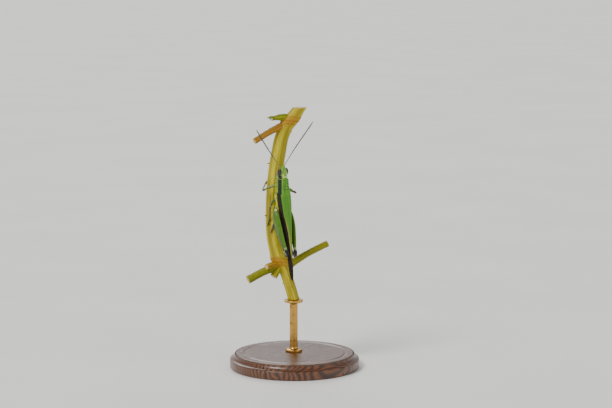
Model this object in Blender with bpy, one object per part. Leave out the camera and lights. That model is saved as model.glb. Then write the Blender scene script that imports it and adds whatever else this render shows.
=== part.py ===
"""A grasshopper clinging head up to a cut length of stem, on a plain display stand.

World frame: +Z up, the origin at the centre of the base's underside.  The stem rises from a
brass rod.  The insect's back faces -Y, its left side -X, and its head is up.

Body frame, in which every piece of the insect is drawn: +X is the insect's right, +Y its
belly side, +Z the way it faces, and the origin lies level with the tip of the head.  A
"station" is a distance back from that tip, so a point at station s has z = -s.

All lengths are in millimetres until a mesh is written, and MM turns them into metres.
"""

import math

import bmesh
import bpy
import numpy as np
from mathutils import Matrix, Vector

MM = 0.001

# ---- Insect: stations along the body ----
PRONOTUM_FRONT = 4.12
PRONOTUM_REAR = 9.35        # hind angle of the pronotum, on the mid line
REAR_SWEEP = 0.30           # how fast the hind margin falls away beside the mid line
REAR_SLANT = 0.30           # and how fast it comes forward down the flank
THORAX_END = 14.45
WING_TIP = 35.5             # over-all length, head to wing tips
BACK_LINE = -1.65           # y of the back at the hind angle of the pronotum
GAP = 0.06                  # clear space between touching plates
KEEL_HEIGHT = 0.07          # of the ridge along the pronotum

# ---- Insect: eyes, feelers, wings ----
EYE_CENTRE = (1.20, -0.20, 2.10)        # x, y, station
EYE_RADII = (0.62, 0.92, 1.36)          # across the head, up the face, along the eye
EYE_SLOPE = math.radians(28.0)
FEELER_ROOT = (0.47, 0.20, 0.90)        # x, y, station
FEELER_REACH = (9.9, -3.7, 13.2)        # root to tip: outwards, towards the belly, forwards
FEELER_RADIUS = 0.25
WING_THICKNESS = 0.5
MID_GAP = 0.035                         # half the space between the two folded wings

# ---- Pose: the insect leans, and the stem bows, in one upright plane ----
BOW_HEADING = math.radians(-35.0)       # heading of that plane from +X
LEAN = math.radians(4.4)                # the tail stands off to the bow's side
LEAN_CENTRE = 17.5                      # station that keeps its place as the body leans
CENTRE_HEIGHT = 45.9                    # height of that station above the table
STEM_TO_BODY = 7.1                      # stem's axis to body's axis

# ---- Perch: a cut length of woody stem ----
STEM_AXIS = (-4.5, 5.0)                 # x, y of the stem where it bows least
STEM_ROUTE = [                          # height, bow
    (21.0, 6.3), (25.0, 5.2), (28.5, 4.1), (31.0, 3.2), (34.0, 1.8), (39.0, 0.5), (48.0, 0.0),
    (57.0, 0.4), (66.0, 1.6), (73.0, 3.3), (76.6, 5.4), (80.5, 8.2),
]
STEM_RADIUS = 2.25
SHOOT_RADIUS = 1.75                     # of the thinner shoot below the lower joint
STEM_SIDES = 14
STEM_RINGS = 27
NODE_HEIGHTS = (33.0, 76.6)             # swollen joints of the stem
NODE_SWELLING = 0.55
NODE_LENGTH = 1.9
PRICKLE_LENGTH = 0.8
PRICKLES = [(8, 3), (11, 6), (15, 11), (18, 5), (21, 2)]              # ring, side

# ---- Display stand ----
BASE_RADIUS = 20.0
BASE_HEIGHT = 4.6
BASE_SEGMENTS = 32
ROD_RADIUS = 1.25
ROD_SEGMENTS = 16
PLATE_RADIUS = 2.9


# ---------------------------------------------------------------- curves and frames

def value_on(knots, at):
    """Values at `at` on the smooth curve through (position, value, ...) knots."""
    table = np.array(knots, dtype=float)
    places, values = table[:, 0], table[:, 1:]
    slopes = np.gradient(values, places, axis=0)
    i = int(np.clip(np.searchsorted(places, at) - 1, 0, len(places) - 2))
    span = places[i + 1] - places[i]
    t = float(np.clip((at - places[i]) / span, 0.0, 1.0))
    blend = t * t * (3.0 - 2.0 * t)
    ease_in = t * (1.0 - t) ** 2
    ease_out = t * t * (t - 1.0)
    straight = values[i] * (1.0 - blend) + values[i + 1] * blend
    return straight + span * (slopes[i] * ease_in + slopes[i + 1] * ease_out)


def points_on(route, count):
    """Evenly spaced points on the smooth curve through a list of points."""
    points = [Vector(p) for p in route]
    lengths = [0.0]
    for a, b in zip(points, points[1:]):
        lengths.append(lengths[-1] + (b - a).length)
    knots = [(length, *p) for length, p in zip(lengths, points)]
    return [Vector(value_on(knots, lengths[-1] * i / (count - 1))) for i in range(count)]


def bow_direction():
    return Vector((math.cos(BOW_HEADING), math.sin(BOW_HEADING), 0.0))


def body_to_world():
    """The lean about station LEAN_CENTRE, then the move to its place beside the stem."""
    tilt_axis = -Vector((0.0, 0.0, 1.0)).cross(bow_direction())
    tilt = Matrix.Rotation(LEAN, 4, tilt_axis)
    place = Vector((STEM_AXIS[0], STEM_AXIS[1] - STEM_TO_BODY, CENTRE_HEIGHT))
    return Matrix.Translation(place) @ tilt @ Matrix.Translation((0.0, 0.0, LEAN_CENTRE))


def stem_centre(height):
    bow = float(value_on(STEM_ROUTE, height)[0])
    return Vector((*STEM_AXIS, height)) + bow_direction() * bow


def stem_radius(height):
    swelling = sum(math.exp(-((height - h) / NODE_LENGTH) ** 2) for h in NODE_HEIGHTS)
    grown = 1.0 / (1.0 + math.exp((NODE_HEIGHTS[0] - 2.0 - height) / 0.8))
    radius = SHOOT_RADIUS + (STEM_RADIUS - SHOOT_RADIUS) * grown
    return radius + NODE_SWELLING * swelling


def on_stem(station, around, clearance):
    """Body-frame point beside the stem: `around` turns from the insect's side of the stem
    towards the insect's right, in degrees."""
    height = CENTRE_HEIGHT + (LEAN_CENTRE - station) * math.cos(LEAN)
    turn = math.radians(around)
    outward = Vector((math.sin(turn), -math.cos(turn), 0.0))
    point = stem_centre(height) + outward * (stem_radius(height) + clearance)
    return body_to_world().inverted() @ point


# ---------------------------------------------------------------- meshes and objects

def finish(name, colour, roughness, metallic=0.0):
    """A Principled material of one colour."""
    material = bpy.data.materials.new(name)
    material.use_nodes = True
    shader = material.node_tree.nodes["Principled BSDF"]
    shader.inputs["Base Color"].default_value = (*colour, 1.0)
    shader.inputs["Roughness"].default_value = roughness
    shader.inputs["Metallic"].default_value = metallic
    return material


def add_object(name, bm, material, parent=None, smooth_angle=50.0):
    """Writes a mesh drawn in millimetres to an object in metres."""
    bmesh.ops.scale(bm, vec=(MM, MM, MM), verts=bm.verts)
    bmesh.ops.recalc_face_normals(bm, faces=bm.faces)
    mesh = bpy.data.meshes.new(name)
    bm.to_mesh(mesh)
    bm.free()
    mesh.shade_smooth()
    mesh.set_sharp_from_angle(angle=math.radians(smooth_angle))
    mesh.materials.append(material)
    piece = bpy.data.objects.new(name, mesh)
    piece.parent = parent
    bpy.context.scene.collection.objects.link(piece)
    return piece


def loft(rings, halved=False):
    """A closed mesh over rings of equally many points, with a face at each end.

    `halved` splits the end faces along the mid line, where a swept end is folded.
    """
    bm = bmesh.new()
    rows = [[bm.verts.new(point) for point in ring] for ring in rings]
    for lower, upper in zip(rows, rows[1:]):
        for j in range(len(lower)):
            k = (j + 1) % len(lower)
            bm.faces.new((lower[j], lower[k], upper[k], upper[j]))
    for row in (rows[0], rows[-1]):
        if halved:
            half = len(row) // 2
            bm.faces.new(row[:half + 1])
            bm.faces.new(row[half:] + row[:1])
        else:
            bm.faces.new(row)
    return bm


def tube(path, sizes, sides, side_hint=(1.0, 0.0, 0.0), dome=0.45):
    """A tube of oval section along a path, with a rounded end at each tip.

    `sizes` holds (part of the length, half width along the hint, half depth) knots.
    """
    count = len(path)
    across = Vector(side_hint)
    rings = []
    for i, point in enumerate(path):
        tangent = (path[min(i + 1, count - 1)] - path[max(i - 1, 0)]).normalized()
        across = (across - tangent * across.dot(tangent)).normalized()
        deep = tangent.cross(across)
        half_width, half_depth = value_on(sizes, i / (count - 1))
        steps = [(0.0, 1.0)]
        if i == 0:
            steps = [(-dome, 0.55), (0.0, 1.0)]
        elif i == count - 1:
            steps = [(0.0, 1.0), (dome, 0.55)]
        for push, shrink in steps:
            centre = point + tangent * (push * half_width)
            ring = []
            for k in range(sides):
                turn = 2.0 * math.pi * k / sides
                offset = across * (math.cos(turn) * half_width * shrink)
                offset += deep * (math.sin(turn) * half_depth * shrink)
                ring.append(centre + offset)
            rings.append(ring)
    return loft(rings)


def turned(profile, segments):
    """A solid of revolution about Z from (radius, height) pairs, bottom to top."""
    rings = []
    for radius, height in profile:
        ring = []
        for k in range(segments):
            turn = 2.0 * math.pi * k / segments
            ring.append((radius * math.cos(turn), radius * math.sin(turn), height))
        rings.append(ring)
    return loft(rings)


def ellipsoid(centre, radii, slope=0.0, segments=14, rings=9):
    """An ellipsoid in the body frame, its long axis sloping in the plane of back and belly."""
    bm = bmesh.new()
    bmesh.ops.create_uvsphere(bm, u_segments=segments, v_segments=rings, radius=1.0)
    x, y, station = centre
    place = Matrix.Translation((x, y, -station)) @ Matrix.Rotation(slope, 4, "X")
    bmesh.ops.transform(bm, matrix=place @ Matrix.Diagonal((*radii, 1.0)), verts=bm.verts)
    return bm


def cut_away(bm, point, outward):
    """Cuts off what lies on the outward side of a plane and closes the cut."""
    parts = bm.verts[:] + bm.edges[:] + bm.faces[:]
    cut = bmesh.ops.bisect_plane(bm, geom=parts, dist=1e-5, plane_co=point, plane_no=outward,
                                 clear_outer=True)
    rim = [e for e in cut["geom_cut"] if isinstance(e, bmesh.types.BMEdge)]
    bmesh.ops.holes_fill(bm, edges=rim, sides=0)
    return bm


def add_cutter(name, bm, parent):
    """A hidden solid that a Boolean takes away or joins on."""
    guide = add_object(name, bm, finish(name, (1.0, 0.4, 0.1), 0.5), parent)
    guide.hide_render = True
    guide.display_type = "WIRE"
    return guide


def combine(piece, other, operation):
    step = piece.modifiers.new(other.name, "BOOLEAN")
    step.operation = operation
    step.solver = "EXACT"
    step.object = other


# ---------------------------------------------------------------- head and body plates

def body_ring(half_width, back, belly, boxy, taper, sides, station_at):
    """A ring across the body: a superellipse from back to belly, narrowing to the belly.

    `station_at(x, y)` gives each point its station, so a ring may be flat or swept.
    """
    middle = (back + belly) / 2.0
    depth = (belly - back) / 2.0
    ring = []
    for k in range(sides):
        turn = 2.0 * math.pi * k / sides
        across = math.copysign(abs(math.sin(turn)) ** (2.0 / boxy), math.sin(turn))
        down = math.copysign(abs(math.cos(turn)) ** (2.0 / boxy), -math.cos(turn))
        x = half_width * across * (1.0 - taper * (down + 1.0) / 2.0)
        y = middle + depth * down
        ring.append((x, y, -station_at(x, y)))
    return ring


def hind_margin(x, y):
    """Station of the pronotum's hind margin, an open angle pointing back over the wings."""
    return PRONOTUM_REAR - REAR_SWEEP * abs(x) - REAR_SLANT * (y - BACK_LINE)


HEAD_KNOTS = [              # station, half width, back, belly, boxiness, taper
    (0.00, 0.20, -1.14, -0.82, 2.2, 0.00),
    (0.35, 0.52, -1.27, -0.42, 2.3, 0.10),
    (0.85, 0.80, -1.36, 0.20, 2.5, 0.25),
    (1.45, 1.02, -1.43, 1.02, 2.6, 0.38),
    (2.05, 1.22, -1.48, 1.84, 2.7, 0.42),
    (2.65, 1.32, -1.52, 2.66, 2.8, 0.45),
    (3.15, 1.38, -1.54, 3.16, 2.8, 0.45),
    (3.65, 1.40, -1.54, 3.28, 2.7, 0.42),
    (4.05, 1.34, -1.48, 2.85, 2.6, 0.35),
]
MOUTH_LINE = (0.0, 2.05, -3.2)          # a point of the cleft between face and mouthparts
MOUTH_SLOPE = Vector((0.0, 0.97, 0.24)).normalized()


def whole_head():
    rings = []
    for station, *shape in HEAD_KNOTS:
        rings.append(body_ring(*shape, 20, lambda x, y, s=station: s))
    return loft(rings)


def head(pose):
    """The head, slant-faced, with sockets for the eyes and the feelers."""
    cleft = Vector(MOUTH_LINE)
    face = cut_away(whole_head(), cleft, MOUTH_SLOPE)
    skull = add_object("head", face, finish("head_green", (0.30, 0.50, 0.12), 0.45), pose)
    mouth = cut_away(whole_head(), cleft + MOUTH_SLOPE * GAP, -MOUTH_SLOPE)
    add_object("mouthparts", mouth, finish("mouth_olive", (0.36, 0.42, 0.12), 0.5), pose)
    eye_finish = finish("eye_black", (0.02, 0.018, 0.015), 0.15)
    for side, name in ((-1, "L"), (1, "R")):
        x, y, station = EYE_CENTRE
        centre = (side * x, y, station)
        socket_radii = [r + GAP for r in EYE_RADII]
        socket = ellipsoid(centre, socket_radii, EYE_SLOPE)
        combine(skull, add_cutter("eye_socket_" + name, socket, pose), "DIFFERENCE")
        eye = ellipsoid(centre, EYE_RADII, EYE_SLOPE)
        add_object("eye_" + name, eye, eye_finish, pose)
        x, y, station = FEELER_ROOT
        pit = ellipsoid((side * x, y, station), [FEELER_RADIUS + 2.0 * GAP] * 3, 0.0, 10, 6)
        combine(skull, add_cutter("feeler_pit_" + name, pit, pose), "DIFFERENCE")


def feelers(pose):
    """Two thread-like feelers, thickest beyond the middle, spread in a wide V."""
    horn = finish("feeler_brown", (0.10, 0.07, 0.03), 0.5)
    thickness = [(0.0, FEELER_RADIUS, FEELER_RADIUS), (0.12, 0.25, 0.25), (0.8, 0.29, 0.27),
                 (1.0, 0.25, 0.25)]
    for side, name in ((-1, "L"), (1, "R")):
        x, y, station = FEELER_ROOT
        out, down, forward = FEELER_REACH
        route = []
        for part, rise, spread in ((0.0, 0.0, 0.0), (0.08, 0.05, 0.01), (0.4, 0.3, 0.012),
                                   (0.75, 0.2, 0.0), (1.0, 0.0, 0.0)):
            route.append((side * (x + out * (part - spread)), y + down * part + rise,
                          -station + forward * part))
        feeler = tube(points_on(route, 24), thickness, 6)
        add_object("antenna_" + name, feeler, horn, pose)


# ---------------------------------------------------------------- wings

WING_KNOTS = [              # station, half width, top, lower edge, filled
    (9.3, 1.88, -1.58, 1.00, 0.0),
    (11.5, 1.90, -1.60, 1.22, 0.0),
    (14.0, 1.76, -1.60, 1.18, 0.0),
    (17.0, 1.50, -1.56, 0.95, 0.0),
    (20.0, 1.24, -1.50, 0.68, 0.0),
    (22.5, 1.04, -1.44, 0.42, 0.1),
    (25.0, 0.86, -1.38, 0.16, 1.0),
    (28.0, 0.70, -1.30, -0.12, 1.0),
    (31.0, 0.60, -1.24, -0.26, 1.0),
    (33.5, 0.48, -1.18, -0.40, 1.0),
    (35.0, 0.28, -1.08, -0.60, 1.0),
    (35.5, 0.12, -0.98, -0.76, 1.0),
]
WING_RINGS = 16


def half_arch(half_width, top, low, count):
    """Points from the mid line over the shoulder and down the side to the lower edge."""
    shoulder = min(1.1, 0.55 * (low - top))
    arch = []
    for j in range(count):
        part = j / (count - 1)
        if part < 0.7:
            turn = part / 0.7 * math.pi / 2.0
            x = half_width * math.sin(turn) ** 0.8
            y = top + shoulder * (1.0 - math.cos(turn) ** 0.8)
        else:
            drop = (part - 0.7) / 0.3
            x = half_width * (1.0 - 0.03 * drop)
            y = top + shoulder + (low - top - shoulder) * drop
        arch.append((x, y))
    return arch


def wing_arches(station, grow=0.0):
    """Outer and inner arch of one wing; `grow` widens the inner one's distance to the body."""
    half_width, top, low, filled = value_on(WING_KNOTS, station)
    filled = float(np.clip(filled, 0.0, 1.0))
    inner_width = max(half_width - WING_THICKNESS, 0.35 * half_width) - grow
    inner_top = min(top + WING_THICKNESS, low - 0.12) + grow
    inner = []
    for x, y in half_arch(inner_width, inner_top, low + grow, 6):
        inner.append((x, y * (1.0 - filled) + (low + grow) * filled))
    return half_arch(half_width, top, low, 9), inner


def wing(side):
    """One folded forewing, from the pronotum's hind margin to its tip."""
    first, last = WING_KNOTS[0][0], WING_KNOTS[-1][0]
    rings = []
    for i in range(WING_RINGS):
        part = (i / (WING_RINGS - 1)) ** 0.85
        outer, inner = wing_arches(first + (last - first) * part)
        ring = []
        for x, y in outer + inner[::-1]:
            x = max(x, MID_GAP)
            front = hind_margin(x, y) + GAP
            ring.append((side * x, y, -(front + part * (WING_TIP - front))))
        rings.append(ring)
    return loft(rings)


def wings(pose):
    green = finish("wing_green", (0.28, 0.45, 0.14), 0.5)
    for side, name in ((-1, "L"), (1, "R")):
        add_object("forewing_" + name, wing(side), green, pose)


# ---------------------------------------------------------------- body behind the pronotum

def tucked_ring(wing_station, half_width, back, belly, boxy, taper, station_at):
    """A ring across the body whose upper part keeps inside the folded wings.

    Above the wings' lower edge it follows their inner arch, and below it the full flank.
    """
    arch = wing_arches(wing_station, 2.0 * GAP)[1]
    arch_x, arch_y = zip(*arch)
    low = arch_y[-1]
    tucked = back < low - 0.05
    back = max(back, arch_y[0]) if tucked else back
    middle = (back + belly) / 2.0
    depth = (belly - back) / 2.0
    split = low if tucked else back + 0.3 * (belly - back)

    def flank_x(y):
        down = float(np.clip((y - middle) / depth, -1.0, 1.0))
        round_x = max(1.0 - abs(down) ** boxy, 0.0) ** (1.0 / boxy)
        return half_width * round_x * (1.0 - taper * (down + 1.0) / 2.0)

    half = []
    for j in range(6):
        y = back + (split - back) * (j / 5) ** 1.5
        limit = float(np.interp(y, arch_y, arch_x)) if tucked else half_width
        half.append((min(flank_x(y), limit), y))
    start = math.acos(float(np.clip((middle - split) / depth, -1.0, 1.0)))
    for j in range(8):
        turn = start + (math.pi - start) * j / 7
        y = middle - depth * math.cos(turn)
        half.append((flank_x(y), y))
    half[0] = (0.0, half[0][1])
    half[-1] = (0.0, half[-1][1])
    ring = half + [(-x, y) for x, y in half[-2:0:-1]]
    return [(x, y, -station_at(x, y)) for x, y in ring]


PROTHORAX_KNOTS = [         # part of the length, half width, back, belly, boxiness, taper
    (0.00, 1.52, -1.58, 2.40, 3.0, 0.10),
    (0.10, 1.58, -1.63, 2.66, 3.1, 0.10),
    (0.30, 1.66, -1.62, 2.76, 3.1, 0.10),
    (0.42, 1.66, -1.58, 2.78, 3.1, 0.10),
    (0.52, 1.72, -1.62, 2.80, 3.2, 0.10),
    (0.75, 1.86, -1.66, 2.82, 3.3, 0.08),
    (1.00, 1.94, -1.68, 2.82, 3.3, 0.06),
]
LOBE_LINE = 2.08            # y of the lower edge of the pronotum's side lobes


def prothorax():
    rings = []
    for part, *shape in PROTHORAX_KNOTS:
        def station_at(x, y, part=part):
            return PRONOTUM_FRONT + part * (hind_margin(x, y) - PRONOTUM_FRONT)
        rings.append(body_ring(*shape, 24, station_at))
    return loft(rings, halved=True)


def pronotum(pose):
    """The saddle behind the head, with a keel along its back, over the first breast plate.

    Returns the breast plate, which the fore hips are let into.
    """
    edge = Vector((0.0, LOBE_LINE, 0.0))
    belly_side = Vector((0.0, 1.0, 0.0))
    saddle = cut_away(prothorax(), edge, belly_side)
    for vert in saddle.verts:
        if abs(vert.co.x) < 0.01 and vert.co.y < -1.0:
            vert.co.y -= KEEL_HEIGHT
    add_object("pronotum", saddle, finish("pronotum_green", (0.26, 0.46, 0.10), 0.45), pose)
    breast = cut_away(prothorax(), edge + belly_side * GAP, -belly_side)
    breast_finish = finish("breast_olive", (0.40, 0.44, 0.14), 0.5)
    return add_object("prosternum", breast, breast_finish, pose)


THORAX_KNOTS = [            # part of the length, half width, back, belly, boxiness, taper
    (0.00, 1.90, -1.00, 2.92, 2.9, 0.12),
    (0.20, 2.26, -1.00, 3.16, 2.9, 0.12),
    (0.45, 2.22, -1.00, 3.12, 2.9, 0.14),
    (0.68, 1.88, -1.00, 3.14, 2.8, 0.14),
    (1.00, 1.66, -0.96, 2.86, 2.7, 0.15),
]
ABDOMEN_KNOTS = [           # station, half width, back, belly, boxiness, taper
    (14.51, 1.58, -0.80, 2.80, 2.5, 0.18),
    (16.5, 1.52, -0.74, 2.68, 2.4, 0.18),
    (19.0, 1.38, -0.64, 2.48, 2.4, 0.18),
    (21.5, 1.20, -0.50, 2.26, 2.3, 0.18),
    (24.0, 0.98, -0.20, 2.04, 2.3, 0.18),
    (26.0, 0.78, 0.10, 1.84, 2.2, 0.15),
    (27.3, 0.58, 0.42, 1.62, 2.2, 0.10),
    (28.2, 0.26, 0.62, 1.22, 2.0, 0.00),
]
ABDOMEN_RINGS = 12


def thorax(pose):
    """The flanks and breast that carry the wings and the last two pairs of legs."""
    rings = []
    for part, *shape in THORAX_KNOTS:
        def station_at(x, y, part=part):
            front = hind_margin(x, y) + GAP
            return front + part * (THORAX_END - front)
        wing_station = PRONOTUM_REAR + part * (THORAX_END - PRONOTUM_REAR)
        rings.append(tucked_ring(wing_station, *shape, station_at))
    flank_finish = finish("flank_yellow", (0.45, 0.50, 0.08), 0.5)
    return add_object("thorax", loft(rings, halved=True), flank_finish, pose)


def abdomen(pose):
    """The hind body, tapering to its tip beneath the wings."""
    first, last = ABDOMEN_KNOTS[0][0], ABDOMEN_KNOTS[-1][0]
    rings = []
    for i in range(ABDOMEN_RINGS):
        station = first + (last - first) * i / (ABDOMEN_RINGS - 1)
        shape = value_on(ABDOMEN_KNOTS, station)
        rings.append(tucked_ring(station, *shape, lambda x, y, s=station: s))
    add_object("abdomen", loft(rings), finish("abdomen_olive", (0.42, 0.42, 0.14), 0.5), pose)


# ---------------------------------------------------------------- legs

FORE_HIP = (1.20, 2.88, 6.20)           # x, y, station
MIDDLE_HIP = (1.38, 3.06, 10.30)
HIND_HIP = (1.78, 2.62, 12.90)
HIP_RADIUS = 0.46
LEG_RADIUS = 0.25                       # of the thinnest stretches of a leg
ANKLE_LIFT = 0.22                       # of a shin's end above the foot's axis
FOOT_CLEARANCE = 0.32                   # from the stem's surface to a foot's axis

# One row a leg: hip, knee, and the ankle's and the toes' station and angle round the stem.
SHORT_LEGS = [
    ("fore", "L", FORE_HIP, (-4.45, 4.55, 7.30), (6.40, -128.0), (5.20, -176.0)),
    ("fore", "R", FORE_HIP, (4.90, 0.75, 9.00), (7.80, 70.0), (7.20, 116.0)),
    ("middle", "L", MIDDLE_HIP, (-2.95, 3.85, 13.10), (17.00, -58.0), (18.80, -76.0)),
    ("middle", "R", MIDDLE_HIP, (3.80, 3.30, 13.20), (15.60, 46.0), (17.40, 78.0)),
]
# One row a hind leg: knee, how far the thigh bows outwards, then ankle and toes as above.
HIND_LEGS = [
    ("L", (-1.75, -1.85, 27.00), 0.74, (18.60, -30.0), (21.00, -50.0)),
    ("R", (1.70, -1.20, 27.70), 0.95, (19.40, 34.0), (21.60, 52.0)),
]


def mirrored(point, name):
    x, y, station = point
    return Vector((x if name == "R" else -x, y, -station))


def short_leg(which, name, hip, knee, ankle, toes, pose, flanks):
    """A fore or middle leg: thigh, shin and foot, the hip a ball in its own socket."""
    hip_at = mirrored(hip, name)
    knee_at = Vector((knee[0], knee[1], -knee[2]))
    ankle_at = on_stem(*ankle, FOOT_CLEARANCE + ANKLE_LIFT)
    toes_at = on_stem(*toes, FOOT_CLEARANCE)
    tone = (0.34, 0.38, 0.10) if which == "fore" else (0.16, 0.15, 0.06)
    skin = finish("leg_olive", tone, 0.5)
    socket = ellipsoid((hip_at.x, hip_at.y, -hip_at.z), [HIP_RADIUS + GAP] * 3, 0.0, 12, 8)
    combine(flanks, add_cutter("hip_socket_" + which + "_" + name, socket, pose), "DIFFERENCE")

    reach = (knee_at - hip_at).normalized()
    thigh_end = knee_at - reach * 0.18
    thigh_route = points_on([hip_at, hip_at.lerp(thigh_end, 0.4) + Vector((0.0, 0.28, 0.10)),
                             thigh_end], 8)
    thigh_size = [(0.0, 0.38, 0.38), (0.15, 0.40, 0.40), (0.35, 0.36, 0.42), (0.7, 0.30, 0.34),
                  (0.9, 0.26, 0.28), (1.0, 0.29, 0.30)]
    add_object(which + "_femur_" + name, tube(thigh_route, thigh_size, 8), skin, pose)

    shin = (ankle_at - knee_at).normalized()
    fold = max(0.0, -reach.dot(shin))             # how sharply the knee is bent
    shin_start = knee_at + shin * 0.45 + reach * (0.80 * fold)
    shin_end = ankle_at - shin * 0.10
    shin_middle = shin_start.lerp(shin_end, 0.4) + reach * (0.25 * fold)
    shin_size = [(0.0, LEG_RADIUS, LEG_RADIUS), (1.0, LEG_RADIUS, LEG_RADIUS)]
    shin_route = points_on([shin_start, shin_middle, shin_end], 7)
    add_object(which + "_tibia_" + name, tube(shin_route, shin_size, 8), skin, pose)

    start = (ankle[0] + 0.2 * (toes[0] - ankle[0]), ankle[1] + 0.2 * (toes[1] - ankle[1]))
    foot_route = []
    for i in range(5):
        part = i / 4
        station = start[0] + (toes[0] - start[0]) * part
        around = start[1] + (toes[1] - start[1]) * part
        foot_route.append(on_stem(station, around, FOOT_CLEARANCE + 0.08 * (1.0 - part)))
    foot_size = [(0.0, LEG_RADIUS, LEG_RADIUS), (0.6, 0.27, 0.25), (1.0, 0.30, 0.25)]
    outward = toes_at - on_stem(toes[0], toes[1], 0.0)
    foot = tube(points_on(foot_route, 7), foot_size, 8, outward.orthogonal())
    add_object(which + "_tarsus_" + name, foot, skin, pose)


def hind_leg(name, knee, thigh_bow, ankle, toes, pose, flanks):
    """A leaping leg, folded: the deep flat thigh rises to the knee, the shin lies under it."""
    hip_at = mirrored(HIND_HIP, name)
    knee_at = Vector((knee[0], knee[1], -knee[2]))
    side = 1.0 if name == "R" else -1.0
    green = finish("thigh_green", (0.22, 0.42, 0.06), 0.45)
    socket = ellipsoid((hip_at.x, hip_at.y, -hip_at.z), [HIP_RADIUS + 2 * GAP] * 3, 0.0, 12, 8)
    combine(flanks, add_cutter("hip_socket_hind_" + name, socket, pose), "DIFFERENCE")

    along = (knee_at - hip_at).normalized()
    under = Vector((1.0, 0.0, 0.0)).cross(along).normalized()
    under = under if under.y > 0.0 else -under
    outward = Vector((side, 0.0, 0.0))
    thigh_route = [hip_at]
    for part, bow, sink in ((0.12, 0.75, -0.10), (0.35, 1.0, -0.05), (0.65, 0.7, 0.05),
                            (0.9, 0.15, 0.0)):
        point = hip_at.lerp(knee_at, part) + outward * (bow * thigh_bow) + under * sink
        thigh_route.append(point)
    thigh_route.append(knee_at)
    thigh_size = [               # part of the length, half thickness, half depth
        (0.0, 0.40, 0.44), (0.07, 0.52, 0.90), (0.16, 0.70, 1.40), (0.30, 0.78, 1.66),
        (0.45, 0.76, 1.58), (0.62, 0.64, 1.26), (0.78, 0.50, 0.86), (0.88, 0.44, 0.66),
        (0.95, 0.54, 0.76), (1.0, 0.46, 0.62),
    ]
    thigh = tube(points_on(thigh_route, 19), thigh_size, 10)
    add_object("hind_femur_" + name, thigh, green, pose)

    ankle_at = on_stem(*ankle, FOOT_CLEARANCE + 0.35)
    shin_route = points_on([
        knee_at + under * 0.98 + along * 0.12,
        knee_at + under * 1.20 - along * 1.1,
        knee_at.lerp(hip_at, 0.32) + under * 1.75 + outward * 0.1,
        ankle_at.lerp(knee_at, 0.28) + under * 0.45,
        ankle_at,
    ], 14)
    shin_size = [(0.0, 0.30, 0.27), (0.1, 0.28, 0.28), (0.5, 0.25, 0.25), (0.9, 0.28, 0.27),
                 (1.0, 0.31, 0.29)]
    shin_dark = finish("shin_dark", (0.08, 0.06, 0.05), 0.45)
    add_object("hind_tibia_" + name, tube(shin_route, shin_size, 8), shin_dark, pose)

    foot_route = []
    for i in range(5):
        part = 0.2 + 0.8 * i / 4
        station = ankle[0] + (toes[0] - ankle[0]) * part
        around = ankle[1] + (toes[1] - ankle[1]) * part
        foot_route.append(on_stem(station, around, FOOT_CLEARANCE + 0.1 * (1.0 - part)))
    foot_size = [(0.0, 0.27, 0.25), (0.6, 0.28, 0.25), (1.0, 0.31, 0.25)]
    foot = tube(points_on(foot_route, 7), foot_size, 8)
    add_object("hind_tarsus_" + name, foot, shin_dark, pose)


# ---------------------------------------------------------------- perch and stand

TWIGS = [                   # name, height on the stem, heading, rise, length, two radii
    ("twig_upper", 75.9, 172.0, -24.0, 10.0, 1.00, 0.90),
    ("twig_bud", 77.0, 170.0, 4.0, 3.4, 1.15, 0.55),
    ("twig_lower", 32.0, 165.0, -21.0, 9.0, 1.25, 1.25),
    ("twig_burr", 31.9, 187.0, 0.0, 3.6, 1.05, 0.85),
    ("twig_knob", 32.0, 185.0, -46.0, 2.0, 1.25, 1.10),
    ("twig_side", 30.8, -16.0, 26.0, 13.0, 1.05, 0.98),
]


def perch():
    """The stem with its two swollen joints, its prickles, and the stubs of its side twigs."""
    low, high = STEM_ROUTE[0][0], STEM_ROUTE[-1][0]
    rings = []
    for i in range(STEM_RINGS):
        height = low + (high - low) * i / (STEM_RINGS - 1)
        centre = stem_centre(height)
        ring = []
        for k in range(STEM_SIDES):
            turn = 2.0 * math.pi * k / STEM_SIDES
            rib = 1.0 + 0.035 * math.cos(4.0 * turn + 0.06 * height)
            radius = stem_radius(height) * rib
            ring.append(centre + Vector((math.cos(turn), math.sin(turn), 0.0)) * radius)
        rings.append(ring)
    bm = loft(rings)
    bm.faces.ensure_lookup_table()
    thorns = [bm.faces[ring * STEM_SIDES + side] for ring, side in PRICKLES]
    bmesh.ops.recalc_face_normals(bm, faces=bm.faces)
    bmesh.ops.poke(bm, faces=thorns, offset=PRICKLE_LENGTH)
    bark = finish("bark_straw", (0.62, 0.52, 0.18), 0.6)
    stem = add_object("perch_stem", bm, bark, None, 40.0)
    for name, height, heading, rise, length, radius, end_radius in TWIGS:
        turn, lift = math.radians(heading), math.radians(rise)
        reach = Vector((math.cos(turn) * math.cos(lift), math.sin(turn) * math.cos(lift),
                        math.sin(lift)))
        start = stem_centre(height) + reach * 0.6
        tip = start + reach * (STEM_RADIUS + length)
        sag = Vector((0.0, 0.0, 0.35))
        route = points_on([start, start.lerp(tip, 0.5) + sag, tip], 5)
        thickness = [(0.0, radius * 1.25, radius * 1.25), (0.4, radius, radius),
                     (1.0, end_radius, end_radius)]
        twig = add_cutter(name, tube(route, thickness, 8, (0.0, 0.0, 1.0), 0.12), None)
        combine(stem, twig, "UNION")


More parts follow.
